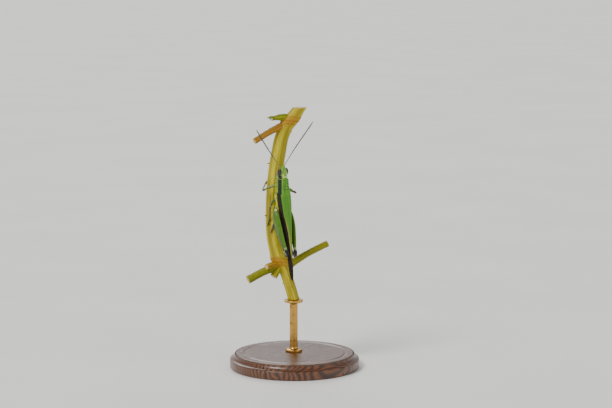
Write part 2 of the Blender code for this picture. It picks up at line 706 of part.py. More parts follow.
def stand():
    """A turned wooden base and one brass rod with a plate under the cut end of the stem."""
    lip = 0.6
    base = turned([(BASE_RADIUS - lip, 0.0), (BASE_RADIUS, lip), (BASE_RADIUS, 2.6),
                   (BASE_RADIUS - 0.9, 3.2), (BASE_RADIUS - 1.5, 4.5),
                   (BASE_RADIUS - 2.4, BASE_HEIGHT)], BASE_SEGMENTS)
    add_object("stand_base", base, finish("walnut", (0.16, 0.08, 0.04), 0.4))
    foot = stem_centre(STEM_ROUTE[0][0])
    top = foot.z - GAP
    bottom = BASE_HEIGHT + GAP
    rod = turned([(2.6, bottom), (2.6, bottom + 0.7), (2.2, bottom + 1.0),
                  (ROD_RADIUS, bottom + 1.5), (ROD_RADIUS, top - 1.5), (1.9, top - 1.0),
                  (PLATE_RADIUS, top - 0.8), (PLATE_RADIUS, top)], ROD_SEGMENTS)
    bmesh.ops.translate(rod, vec=(foot.x, foot.y, 0.0), verts=rod.verts)
    add_object("stand_rod", rod, finish("brass", (0.72, 0.52, 0.22), 0.3, 1.0))


def build():
    for item in list(bpy.data.objects):
        bpy.data.objects.remove(item, do_unlink=True)
    stand()
    perch()
    pose = bpy.data.objects.new("insect_pose", None)
    pose.matrix_world = Matrix.Scale(MM, 4) @ body_to_world() @ Matrix.Scale(1.0 / MM, 4)
    bpy.context.scene.collection.objects.link(pose)
    head(pose)
    feelers(pose)
    breast = pronotum(pose)
    flanks = thorax(pose)
    abdomen(pose)
    wings(pose)
    for which, name, hip, knee, ankle, toes in SHORT_LEGS:
        carrier = breast if which == "fore" else flanks
        short_leg(which, name, hip, knee, ankle, toes, pose, carrier)
    for name, knee, thigh_bow, ankle, toes in HIND_LEGS:
        hind_leg(name, knee, thigh_bow, ankle, toes, pose, flanks)


build()
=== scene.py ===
import math
import bpy
import numpy as np
from mathutils import Matrix, Vector


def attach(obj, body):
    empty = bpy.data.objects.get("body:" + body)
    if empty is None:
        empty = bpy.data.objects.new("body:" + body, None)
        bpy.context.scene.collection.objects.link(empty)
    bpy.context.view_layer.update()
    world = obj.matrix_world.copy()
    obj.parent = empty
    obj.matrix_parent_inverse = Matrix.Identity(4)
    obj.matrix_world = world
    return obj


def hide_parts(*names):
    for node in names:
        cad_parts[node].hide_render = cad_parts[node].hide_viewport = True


# A museum-style grasshopper, head up on a cut stem over a small turned base.
# Shapes are worked out in millimetres.  In the insect's own frame +X is its right, +Y its
# belly, +Z forward, and a "station" is a distance back from the tip of the head.

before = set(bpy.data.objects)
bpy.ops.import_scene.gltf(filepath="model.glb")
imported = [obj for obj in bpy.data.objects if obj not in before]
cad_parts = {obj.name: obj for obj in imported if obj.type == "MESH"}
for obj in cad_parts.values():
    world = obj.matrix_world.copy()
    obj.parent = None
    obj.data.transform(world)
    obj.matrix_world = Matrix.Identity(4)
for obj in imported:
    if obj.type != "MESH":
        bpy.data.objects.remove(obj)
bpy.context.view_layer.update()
mm = 0.001
fullTurn = 2 * math.pi
rng = np.random.default_rng(11)
bothSides = ((-1, "L"), (1, "R"))


# Small helpers for numbers.

# a value kept between 0 and 1
def held(value):
    return np.clip(value, 0, 1)


# a bell: 1 on the line, fading over the width
def bell(distance, width):
    return np.exp(-(np.asarray(distance) / width) ** 2)


# 0 below low, 1 above high, eased between them
def fadeIn(value, low, high):
    t = held((np.asarray(value, float) - low) / (high - low))
    return t * t * (3 - 2 * t)


# 1 between low and high, fading out over the soft width on both sides
def between(value, low, high, soft):
    return fadeIn(value, low - soft, low + soft) * (1 - fadeIn(value, high - soft, high + soft))


# vectors at length 1
def unit(vectors):
    vectors = np.asarray(vectors, float)
    return vectors / (np.linalg.norm(vectors, axis=-1, keepdims=True) + 1e-12)


# points from their three measures, each one a number or an array
def placed(x, y, z):
    return np.stack(np.broadcast_arrays(x, y, z), -1).astype(float)


# angles evenly round a circle
def turnsOf(cols):
    return np.linspace(0, fullTurn, cols, endpoint=False)


# running total of steps, from 0
def summed(steps):
    return np.concatenate([[0], np.cumsum(steps)])


# smooth curve through (place, value ...) knots: cubic pieces whose slopes are the local differences
def valueOn(knots, at):
    table = np.array(knots, float)
    places, values = table[:, 0], table[:, 1:]
    slopes = np.gradient(values, places, axis=0)
    at = np.asarray(at, float)
    i = np.clip(np.searchsorted(places, at) - 1, 0, len(places) - 2)
    span = (places[i + 1] - places[i])[..., None]
    t = held((at - places[i])[..., None] / span)
    blend = t * t * (3 - 2 * t)
    straight = values[i] * (1 - blend) + values[i + 1] * blend
    return straight + span * (slopes[i] * t * (1 - t) ** 2 + slopes[i + 1] * t * t * (t - 1))


# evenly spread points on the smooth curve through a route
def pointsOn(route, count):
    route = np.array(route, float)
    lengths = summed(np.linalg.norm(np.diff(route, axis=0), axis=1))
    return valueOn(np.column_stack([lengths, route]), np.linspace(0, lengths[-1], count))


# a path's point and direction at each share of its length
def onPath(path, share):
    path = np.asarray(path, float)
    ends = np.linspace(0, 1, len(path))
    point, way = [np.stack([np.interp(share, ends, row) for row in rows], -1)
                  for rows in (path.T, np.gradient(path, axis=0).T)]
    return point, unit(way)


# The pose: where the insect's frame sits beside the bowed stem.

pose = {
    "bowHeading": math.radians(-35.0), "lean": math.radians(4.4), "leanStation": 17.5,
    "height": 45.9, "stemX": -4.5, "stemY": 5.0, "stemToBody": 7.1,
}
bowWay = np.array([math.cos(pose["bowHeading"]), math.sin(pose["bowHeading"]), 0.0])
bodyPlace = (
    Matrix.Translation((pose["stemX"], pose["stemY"] - pose["stemToBody"], pose["height"]))
    @ Matrix.Rotation(pose["lean"], 4, Vector((bowWay[1], -bowWay[0], 0.0)))
    @ Matrix.Translation((0, 0, pose["leanStation"]))
)
bodyMatrix, worldToBody = np.array(bodyPlace), np.array(bodyPlace.inverted())


# points carried by a 4 x 4 matrix
def moved(matrix, points):
    return np.asarray(points, float) @ matrix[:3, :3].T + matrix[:3, 3]


# Shells: closed surfaces kept as arrays until they become a mesh.

# Closed surface over rows x columns of points.  Columns close round, and each end row is
# closed by a fan to its middle point.  A mark is a value, or an array of them on the grid.
def gridShell(points, marks=None):
    rows, cols = points.shape[:2]
    index = np.arange(rows * cols).reshape(rows, cols)
    right = np.roll(index, -1, axis=1)
    quads = np.stack([index[:-1], right[:-1], right[1:], index[1:]], -1).reshape(-1, 4)
    fans = [np.stack([a, b, np.full(cols, rows * cols + end)], -1)
            for end, a, b in ((0, right[0], index[0]), (1, index[-1], right[-1]))]
    verts = np.concatenate([points.reshape(-1, 3), points[[0, -1]].mean(1)])
    flat = {}
    for name, values in (marks or {}).items():
        values = np.broadcast_to(values, (rows, cols))
        flat[name] = np.concatenate([values.reshape(-1), values[[0, -1]].mean(1)])
    return facedOut({"verts": verts, "quads": quads, "tris": np.concatenate(fans), "marks": flat})


# turns the faces over where the enclosed volume comes out negative
def facedOut(shell):
    quads = shell["quads"]
    faces = np.concatenate([quads[:, [0, 1, 2]], quads[:, [0, 2, 3]], shell["tris"]])
    a, b, c = shell["verts"][faces.T]
    if np.einsum("ij,ij->i", a, np.cross(b, c)).sum() < 0:
        shell["quads"], shell["tris"] = quads[:, ::-1], shell["tris"][:, ::-1]
    return shell


# several shells as one; a mark that a shell lacks is 0 there
def joined(*shells):
    counts = [len(shell["verts"]) for shell in shells]
    starts = summed(counts)
    whole = {key: np.concatenate([shell[key] + start for shell, start in zip(shells, starts)])
             for key in ("quads", "tris")}
    whole["verts"] = np.concatenate([shell["verts"] for shell in shells])
    whole["marks"] = {
        name: np.concatenate([shell["marks"].get(name, np.zeros(count))
                              for shell, count in zip(shells, counts)])
        for name in sorted({name for shell in shells for name in shell["marks"]})}
    return whole


# outward directions on a grid: the cross product of its two neighbour differences
def gridNormals(points):
    along = np.gradient(points, axis=0)
    around = np.roll(points, -1, axis=1) - np.roll(points, 1, axis=1)
    normal = unit(np.cross(around, along))
    centre = points.mean(axis=1, keepdims=True)
    return normal * (1 if np.sum(normal * (points - centre)) > 0 else -1)


# pushes a grid out by a height, and by less on the rows that round off its ends
def raised(points, normal, height, shrink, least=0.1):
    return points + normal * (height * np.minimum(shrink + least, 1))[..., None]


# an egg: longitudes and latitudes scaled by three radii, turned about X by the slope
def egg(centre, radii, slope=0.0, rows=24, cols=32, marks=None):
    polar, turn = np.linspace(0.03, math.pi - 0.03, rows)[:, None], turnsOf(cols)[None]
    x, y, z = np.moveaxis(placed(np.sin(polar) * np.cos(turn), np.sin(polar) * np.sin(turn),
                                 np.cos(polar)) * np.array(radii), -1, 0)
    c, s = math.cos(slope), math.sin(slope)
    across, down, station = centre
    return gridShell(placed(x + across, c * y - s * z + down, s * y + c * z - station), marks)


limbDome = np.radians([84, 66, 48, 30, 14])      # the rows that round off a limb's end


# An oval profile carried along a path.  Sizes are (share, half width, half depth) knots, or
# (share, radius) where it is round, and each end is a dome.  relief(share, turn) is added
# outwards, and marks(share, turn) gives the marks by name.
def limb(path, sizes, cols=32, rows=None, hint=(1, 0, 0), dome=0.9, relief=None, marks=None,
         pinch=1.0):
    path = pointsOn(path, rows) if rows else np.asarray(path, float)
    count, domes = len(path), len(limbDome)
    tangent = unit(np.gradient(path, axis=0))
    across = np.zeros_like(tangent)
    side = np.array(hint, float)
    for i in range(count):
        side = unit(side - tangent[i] * (side @ tangent[i]))
        across[i] = side
    share = np.linspace(0, 1, count)
    half = valueOn(sizes, share)[:, [0, -1]]
    rowsAt = np.concatenate([np.zeros(domes, int), np.arange(count), np.full(domes, count - 1)])
    push = np.concatenate([-np.sin(limbDome), np.zeros(count), np.sin(limbDome[::-1])])
    shrink = np.concatenate([np.cos(limbDome), np.ones(count), np.cos(limbDome[::-1])])[:, None]
    centre = path[rowsAt] + tangent[rowsAt] * (push * dome * half[rowsAt, 0])[:, None]
    turn = turnsOf(cols)
    wide = half[rowsAt, :1] * shrink * np.sign(np.cos(turn)) * np.abs(np.cos(turn)) ** pinch
    tall = half[rowsAt, 1:] * shrink * np.sin(turn)
    deep = np.cross(tangent, across)[rowsAt, None]
    points = centre[:, None] + across[rowsAt, None] * wide[..., None] + deep * tall[..., None]
    shares, turns = np.broadcast_arrays(share[rowsAt][:, None], turn[None])
    if relief:
        points = points + gridNormals(points) * (relief(shares, turns) * shrink)[..., None]
    made = marks(shares, turns) if marks else {}
    made.update(share=shares, cap=(shares > 0.5) * (1 - shrink))
    return gridShell(points, made)


# thin cones, one for each root: three shrinking rings and a tip, bent along the lean
def spikes(roots, ways, length, radius, sides=6, lean=0.0, mark="spine"):
    ways, count = unit(ways), len(roots)
    length, radius = [np.broadcast_to(size, count)[:, None] for size in (length, radius)]
    across = unit(np.cross(ways, np.where(np.abs(ways[:, 2:]) > 0.8, [1.0, 0, 0], [0, 0, 1.0])))
    turn = turnsOf(sides)[None, :, None]
    ring = across[:, None] * np.cos(turn) + np.cross(ways, across)[:, None] * np.sin(turn)
    steps, levels = (0.0, 0.35, 0.7), []
    for part, size in zip(steps, (1.0, 0.8, 0.42)):
        middle = roots + ways * (length * part) + lean * (length * part ** 2)
        levels.append(middle[:, None] + ring * (radius * size)[..., None])
    ends = [roots + ways * length + lean * length, roots - ways * (radius * 0.5)]
    verts = np.concatenate([*levels, np.stack(ends, 1)], 1)
    k, each = np.arange(sides), 3 * sides + 2
    after = (k + 1) % sides
    quads = np.concatenate([np.stack([k, after, after + sides, k + sides], -1) + level * sides
                            for level in range(2)])
    tris = np.concatenate([
        np.stack([k + 2 * sides, after + 2 * sides, np.full(sides, 3 * sides)], -1),
        np.stack([after, k, np.full(sides, 3 * sides + 1)], -1)])
    start = (np.arange(count) * each)[:, None, None]
    tip = np.concatenate([np.repeat(steps, sides), [1.0, 0.0]])
    return facedOut({"verts": verts.reshape(-1, 3), "quads": (quads + start).reshape(-1, 4),
                     "tris": (tris + start).reshape(-1, 3),
                     "marks": {mark: np.ones(count * each), "tip": np.tile(tip, count)}})


def addObject(name, data):
    made = bpy.data.objects.new(name, data)
    bpy.context.scene.collection.objects.link(made)
    return made


# writes a shell to a mesh object in metres, rides it on the root and hides what it replaces
def makePiece(name, shell, material, slotName, *nodes, inBody=True, sharp=55.0):
    points = moved(bodyMatrix, shell["verts"]) if inBody else shell["verts"]
    mesh = bpy.data.meshes.new(name)
    mesh.from_pydata((points * mm).tolist(), [], shell["quads"].tolist() + shell["tris"].tolist())
    for markName, values in shell["marks"].items():
        attribute = mesh.attributes.new(markName, "FLOAT", "POINT")
        attribute.data.foreach_set("value", values.astype(np.float32))
    mesh.shade_smooth()
    mesh.set_sharp_from_angle(angle=math.radians(sharp))
    mesh.materials.append(material)
    piece = addObject(name, mesh)
    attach(piece, "root")
    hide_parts(*nodes)


# Small helpers for materials.

# sRGB hex colour to the linear values that a shader takes
def tone(code):
    part = np.array([int(code[i:i + 2], 16) for i in (0, 2, 4)]) / 255
    linear = np.where(part <= 0.04045, part / 12.92, ((part + 0.055) / 1.055) ** 2.4)
    return (*linear.tolist(), 1.0)


# sets a socket to a number or colour, or links another socket to it
def feed(tree, socket, value):
    if isinstance(value, bpy.types.NodeSocket):
        tree.links.new(value, socket)
    else:
        socket.default_value = tone(value) if isinstance(value, str) else value


def addNode(tree, kind, inputs=None, **settings):
    made = tree.nodes.new("ShaderNode" + kind)
    for name, value in settings.items():
        setattr(made, name, value)
    for name, value in (inputs or {}).items():
        feed(tree, made.inputs[name], value)
    return made


def maths(tree, operation, a, b=0.0, clamp=False):
    return addNode(tree, "Math", {0: a, 1: b}, operation=operation, use_clamp=clamp).outputs[0]


def times(tree, a, b):
    return maths(tree, "MULTIPLY", a, b)


def plus(tree, a, b, clamp=False):
    return maths(tree, "ADD", a, b, clamp)


def blended(tree, share, a, b, how="MIX"):
    made = addNode(tree, "Mix", {0: share, 6: a, 7: b}, data_type="RGBA", blend_type=how)
    return made.outputs[2]


# eased step between two values of a socket
def eased(tree, value, low, high, outLow=0.0, outHigh=1.0):
    made = addNode(tree, "MapRange", {0: value, 1: low, 2: high, 3: outLow, 4: outHigh},
                   interpolation_type="SMOOTHSTEP")
    return made.outputs[0]


# two colours, mixed by an eased step of a socket
def toned(tree, value, low, high, first, second):
    return blended(tree, eased(tree, value, low, high), first, second)


def markOf(tree, name):
    return addNode(tree, "Attribute", attribute_name=name).outputs["Fac"]


# the piece's own place, stretched along each axis
def objectPlace(tree, stretch=(1, 1, 1), place=None):
    if place is None:
        place = addNode(tree, "TexCoord").outputs["Object"]
    return addNode(tree, "Mapping", {"Vector": place, "Scale": stretch}).outputs["Vector"]


def noiseOf(tree, vector, scale, detail=3.0):
    return addNode(tree, "TexNoise", {"Vector": vector, "Scale": scale, "Detail": detail,
                                      "Roughness": 0.55}).outputs["Fac"]


def cellsOf(tree, vector, scale, randomness=1.0, **settings):
    return addNode(tree, "TexVoronoi", {"Vector": vector, "Scale": scale,
                                        "Randomness": randomness}, **settings).outputs["Distance"]


def rampOf(tree, value, stops):
    ramp = addNode(tree, "ValToRGB", {"Fac": value})
    elements = ramp.color_ramp.elements
    for number, (at, code) in enumerate(stops):
        stop = elements[number] if number < 2 else elements.new(at)
        stop.position, stop.color = at, tone(code)
    return ramp.outputs["Color"]


def newMaterial(name, roughness, coat=0.0, metallic=0.0, specular=0.5):
    material = bpy.data.materials.new(name)
    material.use_nodes = True
    shader = material.node_tree.nodes["Principled BSDF"]
    for socket, value in (("Roughness", roughness), ("Coat Weight", coat), ("Metallic", metallic),
                          ("Coat Roughness", 0.18), ("Specular IOR Level", specular)):
        shader.inputs[socket].default_value = value
    return material, material.node_tree, shader


# feeds a shader its colour and roughness, and a bump from a height
def finish(tree, shader, colour, roughness, height, depth, strength=1.0):
    made = addNode(tree, "Bump", {"Height": height, "Distance": depth, "Strength": strength})
    for name, socket in (("Base Color", colour), ("Roughness", roughness),
                         ("Normal", made.outputs["Normal"])):
        feed(tree, shader.inputs[name], socket)


# Horny skin as a shared group: shallow pits, a soft mottle of light and dark, and a fine
# unevenness of gloss.
def makeCuticleGroup():
    tree = bpy.data.node_groups.new("cuticle", "ShaderNodeTree")
    for label, way, kind in (
            ("Base", "INPUT", "Color"), ("Mottle", "INPUT", "Float"), ("Pits", "INPUT", "Float"),
            ("Gloss", "INPUT", "Float"), ("Color", "OUTPUT", "Color"), ("Height", "OUTPUT", "Float"),
            ("Roughness", "OUTPUT", "Float")):
        tree.interface.new_socket(label, in_out=way, socket_type="NodeSocket" + kind)
    given, out = tree.nodes.new("NodeGroupInput").outputs, tree.nodes.new("NodeGroupOutput").inputs
    place = objectPlace(tree)
    cup = eased(tree, cellsOf(tree, place, given["Pits"]), 0.05, 0.42)
    cloud, fine = noiseOf(tree, place, 900.0, 4.0), noiseOf(tree, place, 5200.0)
    shade = plus(tree, times(tree, cloud, 0.7), times(tree, fine, 0.3))
    dark = blended(tree, 1.0, given["Base"], eased(tree, shade, 0.25, 0.75, 0.55, 1.35), "MULTIPLY")
    pitted = blended(tree, times(tree, maths(tree, "SUBTRACT", 1.0, cup), 0.35), dark, "141806")
    feed(tree, out["Color"], blended(tree, given["Mottle"], given["Base"], pitted))
    feed(tree, out["Height"], plus(tree, cup, times(tree, fine, 0.5)))
    feed(tree, out["Roughness"],
         plus(tree, given["Gloss"], eased(tree, fine, 0.2, 0.8, -0.12, 0.16), True))
    return tree


cuticle = makeCuticleGroup()


# two tones mixed by the material's own cloud
def clouds(first, second, low=0.3):
    return "cloud", low, 1 - low, first, second


# Lays paint over a colour, row after row.  A row says where (a mark, a rule or a socket), how
# strongly, and with what: a tone, a rule, a socket, or two tones mixed by the cloud or a mark.
def layered(tree, colour, *rows, cloud=None):
    def mixed(paint):
        if not isinstance(paint, tuple):
            return paint(tree) if callable(paint) else paint
        value = cloud if paint[0] == "cloud" else markOf(tree, paint[0])
        return toned(tree, value, *paint[1:])

    colour = mixed(colour)
    for where, strength, paint in rows:
        if isinstance(where, str):
            where = markOf(tree, where)
        elif callable(where):
            where = where(tree)
        if strength != 1:
            where = times(tree, where, strength)
        colour = blended(tree, where, colour, mixed(paint))
    return colour


# a rule for layered: a mark whose edge is broken up by a little noise
def ragged(mark, scale, amount, low, high, most=1.0):
    def rule(tree):
        noise = maths(tree, "SUBTRACT", noiseOf(tree, objectPlace(tree), scale), 0.5)
        edge = plus(tree, markOf(tree, mark), times(tree, noise, amount))
        return eased(tree, edge, low, high, 0.0, most)
    return rule


# a horny finish: layers of paint over a cloud of (scale, detail, stretch along the body)
def hornMaterial(name, roughness, coat, cloud, *paint, mottle=0.5, pits=9000.0, gloss=0.4,
                 depth=0.000012, specular=0.5):
    material, tree, shader = newMaterial(name, roughness, coat, specular=specular)
    if cloud:
        scale, detail, stretch = cloud
        cloud = noiseOf(tree, objectPlace(tree, (1, 1, stretch)), scale, detail)
    colour = layered(tree, *paint, cloud=cloud)
    skin = addNode(tree, "Group", {"Base": colour, "Mottle": mottle, "Pits": pits, "Gloss": gloss},
                   node_tree=cuticle).outputs
    finish(tree, shader, skin["Color"], skin["Roughness"], skin["Height"], depth)
    return material


# Camera, floor and lights.

view = {
    "azimuth": -35.0, "elevation": 8.0, "distance": 0.6, "width": 186.048, "film": 36.0,
    "aim": (-4.5, -3.6, 45.9), "shiftRight": 5.17, "shiftUp": 5.78,
}
lamps = [     # name, heading, rise, how wide the light looks, strength
    ("keyLamp", -78.0, 46.0, 22.0, 2.35),
    ("fillLamp", 30.0, 25.0, 60.0, 0.42),
    ("rimLamp", 155.0, 38.0, 30.0, 1.1),
]
sky = {"top": 0.36, "rim": 1.05, "rimEnds": 0.30, "tint": (0.96, 0.98, 1.0, 1.0)}
floorShape = {"inner": 0.02, "radii": (0.05, 14.0, 30), "cols": 96}


# puts an object at a distance from a point, and turns it to look back at the point
def aimed(made, azimuth, elevation, distance, aim=(0, 0, 0), shift=(0, 0)):
    a, e = math.radians(azimuth), math.radians(elevation)
    right = Vector((math.cos(a), math.sin(a), 0))
    back = Vector((math.sin(a) * math.cos(e), -math.cos(a) * math.cos(e), math.sin(e)))
    place = (Vector(aim) + right * shift[0] + back.cross(right) * shift[1]) * mm
    made.location = place + back * distance
    made.rotation_mode = "QUATERNION"
    made.rotation_quaternion = (-back).to_track_quat("-Z", "Y")
    return made


# The camera, its lens set by the width that it takes in at its distance.
def makeCamera():
    data = bpy.data.cameras.new("photoCamera")
    data.sensor_width = view["film"]
    data.lens = view["film"] * view["distance"] / (view["width"] * mm)
    data.clip_start, data.clip_end = 0.01, 60.0
    bpy.context.scene.camera = aimed(
        addObject("photoCamera", data), view["azimuth"], view["elevation"], view["distance"],
        view["aim"], (view["shiftRight"], view["shiftUp"]))


# The floor is a flat disc: rings whose spacing grows outwards.
def makeFloor():
    cols = floorShape["cols"]
    radius = np.concatenate([[floorShape["inner"]], np.geomspace(*floorShape["radii"])])[:, None]
    points = placed(radius * np.cos(turnsOf(cols)), radius * np.sin(turnsOf(cols)), 0)
    index = np.arange(len(radius) * cols).reshape(-1, cols)
    right = np.roll(index, -1, axis=1)
    quads = np.stack([index[:-1], index[1:], right[1:], right[:-1]], -1).reshape(-1, 4)
    mesh = bpy.data.meshes.new("floor")
    mesh.from_pydata(points.reshape(-1, 3).tolist(), [], quads.tolist() + [index[0].tolist()])
    material, tree, shader = newMaterial("paleFloor", 0.75)
    cloud = noiseOf(tree, objectPlace(tree), 14.0, 4.0)
    feed(tree, shader.inputs["Base Color"], toned(tree, cloud, 0.3, 0.7, "eeede8", "f3f2ee"))
    mesh.materials.append(material)
    floor = addObject("floor", mesh)


# Broad distant lights, and a sky whose rim is as bright as the floor.
def makeLights():
    for name, heading, rise, wide, strength in lamps:
        data = bpy.data.lights.new(name, "SUN")
        data.angle, data.energy = math.radians(wide), strength
        aimed(addObject(name, data), heading, rise, 0.6)
    world = bpy.data.worlds.new("studio")
    world.use_nodes = True
    tree = world.node_tree
    way = addNode(tree, "TexCoord").outputs["Generated"]
    height = addNode(tree, "SeparateXYZ", {"Vector": way}).outputs["Z"]
    light = tree.nodes["Background"].inputs
    light["Color"].default_value = sky["tint"]
    feed(tree, light["Strength"], eased(tree, height, 0.0, sky["rimEnds"], sky["rim"], sky["top"]))
    bpy.context.scene.world = world


makeCamera()
makeFloor()
makeLights()
print("stage: camera, floor and lights")


# The display stand: a turned base and one rod, both lathe shapes.

base = {"radius": 20.0, "height": 4.6, "foot": 0.6, "belly": 2.6, "top": 17.6, "groove": 15.6,
        "cols": 176}
rod = {"radius": 1.25, "collar": 2.6, "plate": 2.9, "topHeight": 20.96, "cols": 64}


# surface of revolution: each (radius, height) of the profile turned about the upright axis
def lathe(profile, cols, centre=(0.0, 0.0)):
    radius, height = profile[:, :1], profile[:, 1:]
    return gridShell(placed(centre[0] + radius * np.cos(turnsOf(cols)),
                            centre[1] + radius * np.sin(turnsOf(cols)), height))


# quarter or part circle of profile points about a centre, between two angles
def arc(across, height, radius, start, end, count=8):
    angle = np.radians(np.linspace(start, end, count))
    return np.column_stack([across + radius * np.cos(angle), height + radius * np.sin(angle)])


# level run of profile points from one radius to another; its columns swapped, an upright run
def level(start, end, height, count):
    return np.column_stack([np.linspace(start, end, count), np.full(count, height)])


def baseProfile():
    r, foot, belly, top, high = [base[key] for key in ("radius", "foot", "belly", "top", "height")]
    flat = level(top - 0.2, 0.4, high, 60)
    flat[:, 1] -= 0.22 * bell(flat[:, 0] - base["groove"], 0.22) + 0.05 * bell(flat[:, 0] - 4.2, 0.3)
    return np.concatenate([
        level(0.4, r - foot, 0, 14), arc(r - foot, foot, foot, -90, 0),
        arc(r - 0.3, belly, 0.3, 0, 85, 6), arc(r + 0.15, belly + 1.95, 1.65, 262, 184, 14),
        arc(top + 0.12, high - 0.55, 0.55, 0, 90, 9), flat])


def rodProfile():
    low, high = base["height"] - 0.02, rod["topHeight"]
    r, c, q = rod["radius"], rod["collar"], rod["plate"]
    return np.concatenate([
        level(0.3, c - 0.15, low, 4), arc(c - 0.12, low + 0.12, 0.12, -60, 0, 4),
        arc(c - 0.2, low + 0.6, 0.2, 0, 80, 6), arc(r + 0.75, low + 1.58, 0.75, 268, 182, 10),
        level(low + 1.75, high - 1.75, r, 24)[:, ::-1],
        arc(r + 0.7, high - 1.5, 0.7, 178, 100, 8), arc(q - 0.15, high - 0.64, 0.15, -80, 0, 4),
        arc(q - 0.15, high - 0.15, 0.15, 0, 88, 5), level(q - 0.3, 0.3, high, 5)])


# Wood: growth rings cut lengthways, darker late wood, long pores, all along X.
def baseFinish():
    material, tree, shader = newMaterial("waxedWalnut", 0.32, coat=0.35)
    place = objectPlace(tree, (0.16, 1.0, 0.8))
    drift = addNode(tree, "TexNoise", {"Vector": place, "Scale": 70.0, "Detail": 3.0})
    warped = blended(tree, 0.014, place, drift.outputs["Color"], "ADD")
    rings = addNode(tree, "TexWave", {"Vector": warped, "Scale": 300.0, "Distortion": 2.6,
                                      "Detail": 3.0, "Detail Scale": 1.4}, bands_direction="Y")
    late = rampOf(tree, rings.outputs["Fac"], [(0.15, "000000"), (0.95, "ffffff")])
    pores = noiseOf(tree, objectPlace(tree, (0.07, 1.0, 1.0)), 5200.0, 2.0)
    pore = eased(tree, pores, 0.36, 0.52)
    cloud = noiseOf(tree, objectPlace(tree), 160.0)
    colour = layered(tree, "7a4a28", (late, 1, "33190c"),
                     (maths(tree, "SUBTRACT", 1.0, pore), 0.55, "33190c"),
                     (eased(tree, cloud, 0.3, 0.75, 0.0, 0.35), 1, "4a2613"))
    finish(tree, shader, colour, eased(tree, cloud, 0.2, 0.8, 0.24, 0.42), times(tree, pore, 0.7),
           0.00004)
    return material


# Brass: fine lines round the rod under a cloudy patina.
def rodFinish():
    material, tree, shader = newMaterial("satinBrass", 0.3, metallic=1.0)
    lines = noiseOf(tree, objectPlace(tree, (0.05, 0.05, 1.0)), 16000.0, 2.0)
    patina = noiseOf(tree, objectPlace(tree), 420.0, 4.0)
    rough = plus(tree, eased(tree, lines, 0.3, 0.7, 0.22, 0.34),
                 eased(tree, patina, 0.45, 0.8, 0.0, 0.2))
    finish(tree, shader, toned(tree, patina, 0.45, 0.75, "c79a4e", "94692c"), rough, lines, 0.000008)
    return material


def makeStand():
    makePiece("baseTurned", lathe(baseProfile(), base["cols"]), baseFinish(), "stand_wood",
              "stand_base", inBody=False, sharp=60)
    foot = stemCentre(stem["low"])[:2]
    makePiece("rodTurned", lathe(rodProfile(), rod["cols"], foot), rodFinish(), "stand_metal",
              "stand_rod", inBody=False, sharp=50)


# The perch: a bowed woody stem with two swollen joints, prickles and the stubs of side twigs.

stem = {
    "low": 21.0, "high": 80.5, "radius": 2.25, "shoot": 1.75, "joints": (33.0, 76.6),
    "swelling": 0.55, "jointLength": 1.9, "rows": 460, "cols": 104, "folds": 14, "ringPitch": 4.1,
    "route": [(21.0, 6.3), (25.0, 5.2), (28.5, 4.1), (31.0, 3.2), (34.0, 1.8), (39.0, 0.5),
              (48.0, 0.0), (57.0, 0.4), (66.0, 1.6), (73.0, 3.3), (76.6, 5.4), (80.5, 8.2)],
}
twigs = [     # height, heading, rise, length, two radii, greenness, rustiness
    (75.9, 172.0, -24.0, 10.0, 1.00, 0.90, 0.0, 1.0),
    (77.0, 170.0, 4.0, 3.4, 1.15, 0.55, 0.9, 0.0),
    (32.0, 165.0, -21.0, 9.0, 1.25, 1.25, 0.95, 0.1),
    (31.9, 187.0, 0.0, 3.6, 1.05, 0.85, 0.0, 0.8),
    (32.0, 185.0, -46.0, 2.0, 1.25, 1.10, 0.45, 0.0),
    (30.8, -16.0, 26.0, 13.0, 1.05, 0.98, 0.8, 0.1),
]
prickles = [  # height, side in degrees, length
    (40.4, 90.0, 0.8), (47.3, 167.1, 0.8), (56.5, 295.7, 0.8), (63.3, 141.4, 0.8), (70.2, 64.3, 0.8),
    (44.6, 210.0, 0.45), (52.2, 128.0, 0.4), (60.8, 30.0, 0.5), (26.0, 150.0, 0.5),
    (67.5, 205.0, 0.4), (73.0, 322.0, 0.45), (27.2, 300.0, 0.4),
]


# the stem's middle line: its foot's place, bowed along the heading by the route
def stemCentre(height):
    return placed(pose["stemX"], pose["stemY"], height) + valueOn(stem["route"], height) * bowWay


# shoot radius below the lower joint, the full radius above it, and a bell at each joint
def stemRadius(height):
    height = np.asarray(height, float)
    grown = 1 / (1 + np.exp((stem["joints"][0] - 2.0 - height) / 0.8))
    swell = sum(bell(height - joint, stem["jointLength"]) for joint in stem["joints"])
    return stem["shoot"] + (stem["radius"] - stem["shoot"]) * grown + stem["swelling"] * swell


# a point in the insect's frame beside the stem: "around" turns from the insect's side of the
# stem towards the insect's right, in degrees
def onStem(station, around, clearance):
    height = pose["height"] + (pose["leanStation"] - station) * math.cos(pose["lean"])
    turn = math.radians(around)
    outward = np.array([math.sin(turn), -math.cos(turn), 0.0])
    return moved(worldToBody, stemCentre(height) + outward * (stemRadius(height) + clearance))


# bark folds: a sum of long slanting waves, each with whole turns round the stem
def barkFolds(turn, height):
    total = 0
    for i in range(stem["folds"]):
        slant, start, sway = rng.uniform(-0.35, 0.35), rng.uniform(0, 6.28), rng.uniform(0, 6.28)
        total = total + np.sin((5 + 3 * i) * turn + slant * height + start
                               + 0.9 * np.sin(0.31 * height + sway)) / (2 + i)
    return total


# marks that lay the bark's pattern along a stem: mm out from its middle line, then mm along it
def grainOf(turn, along, radius, seed=0.0):
    return {"grainX": radius * np.cos(turn) + seed, "grainY": radius * np.sin(turn) + seed,
            "grainZ": along}


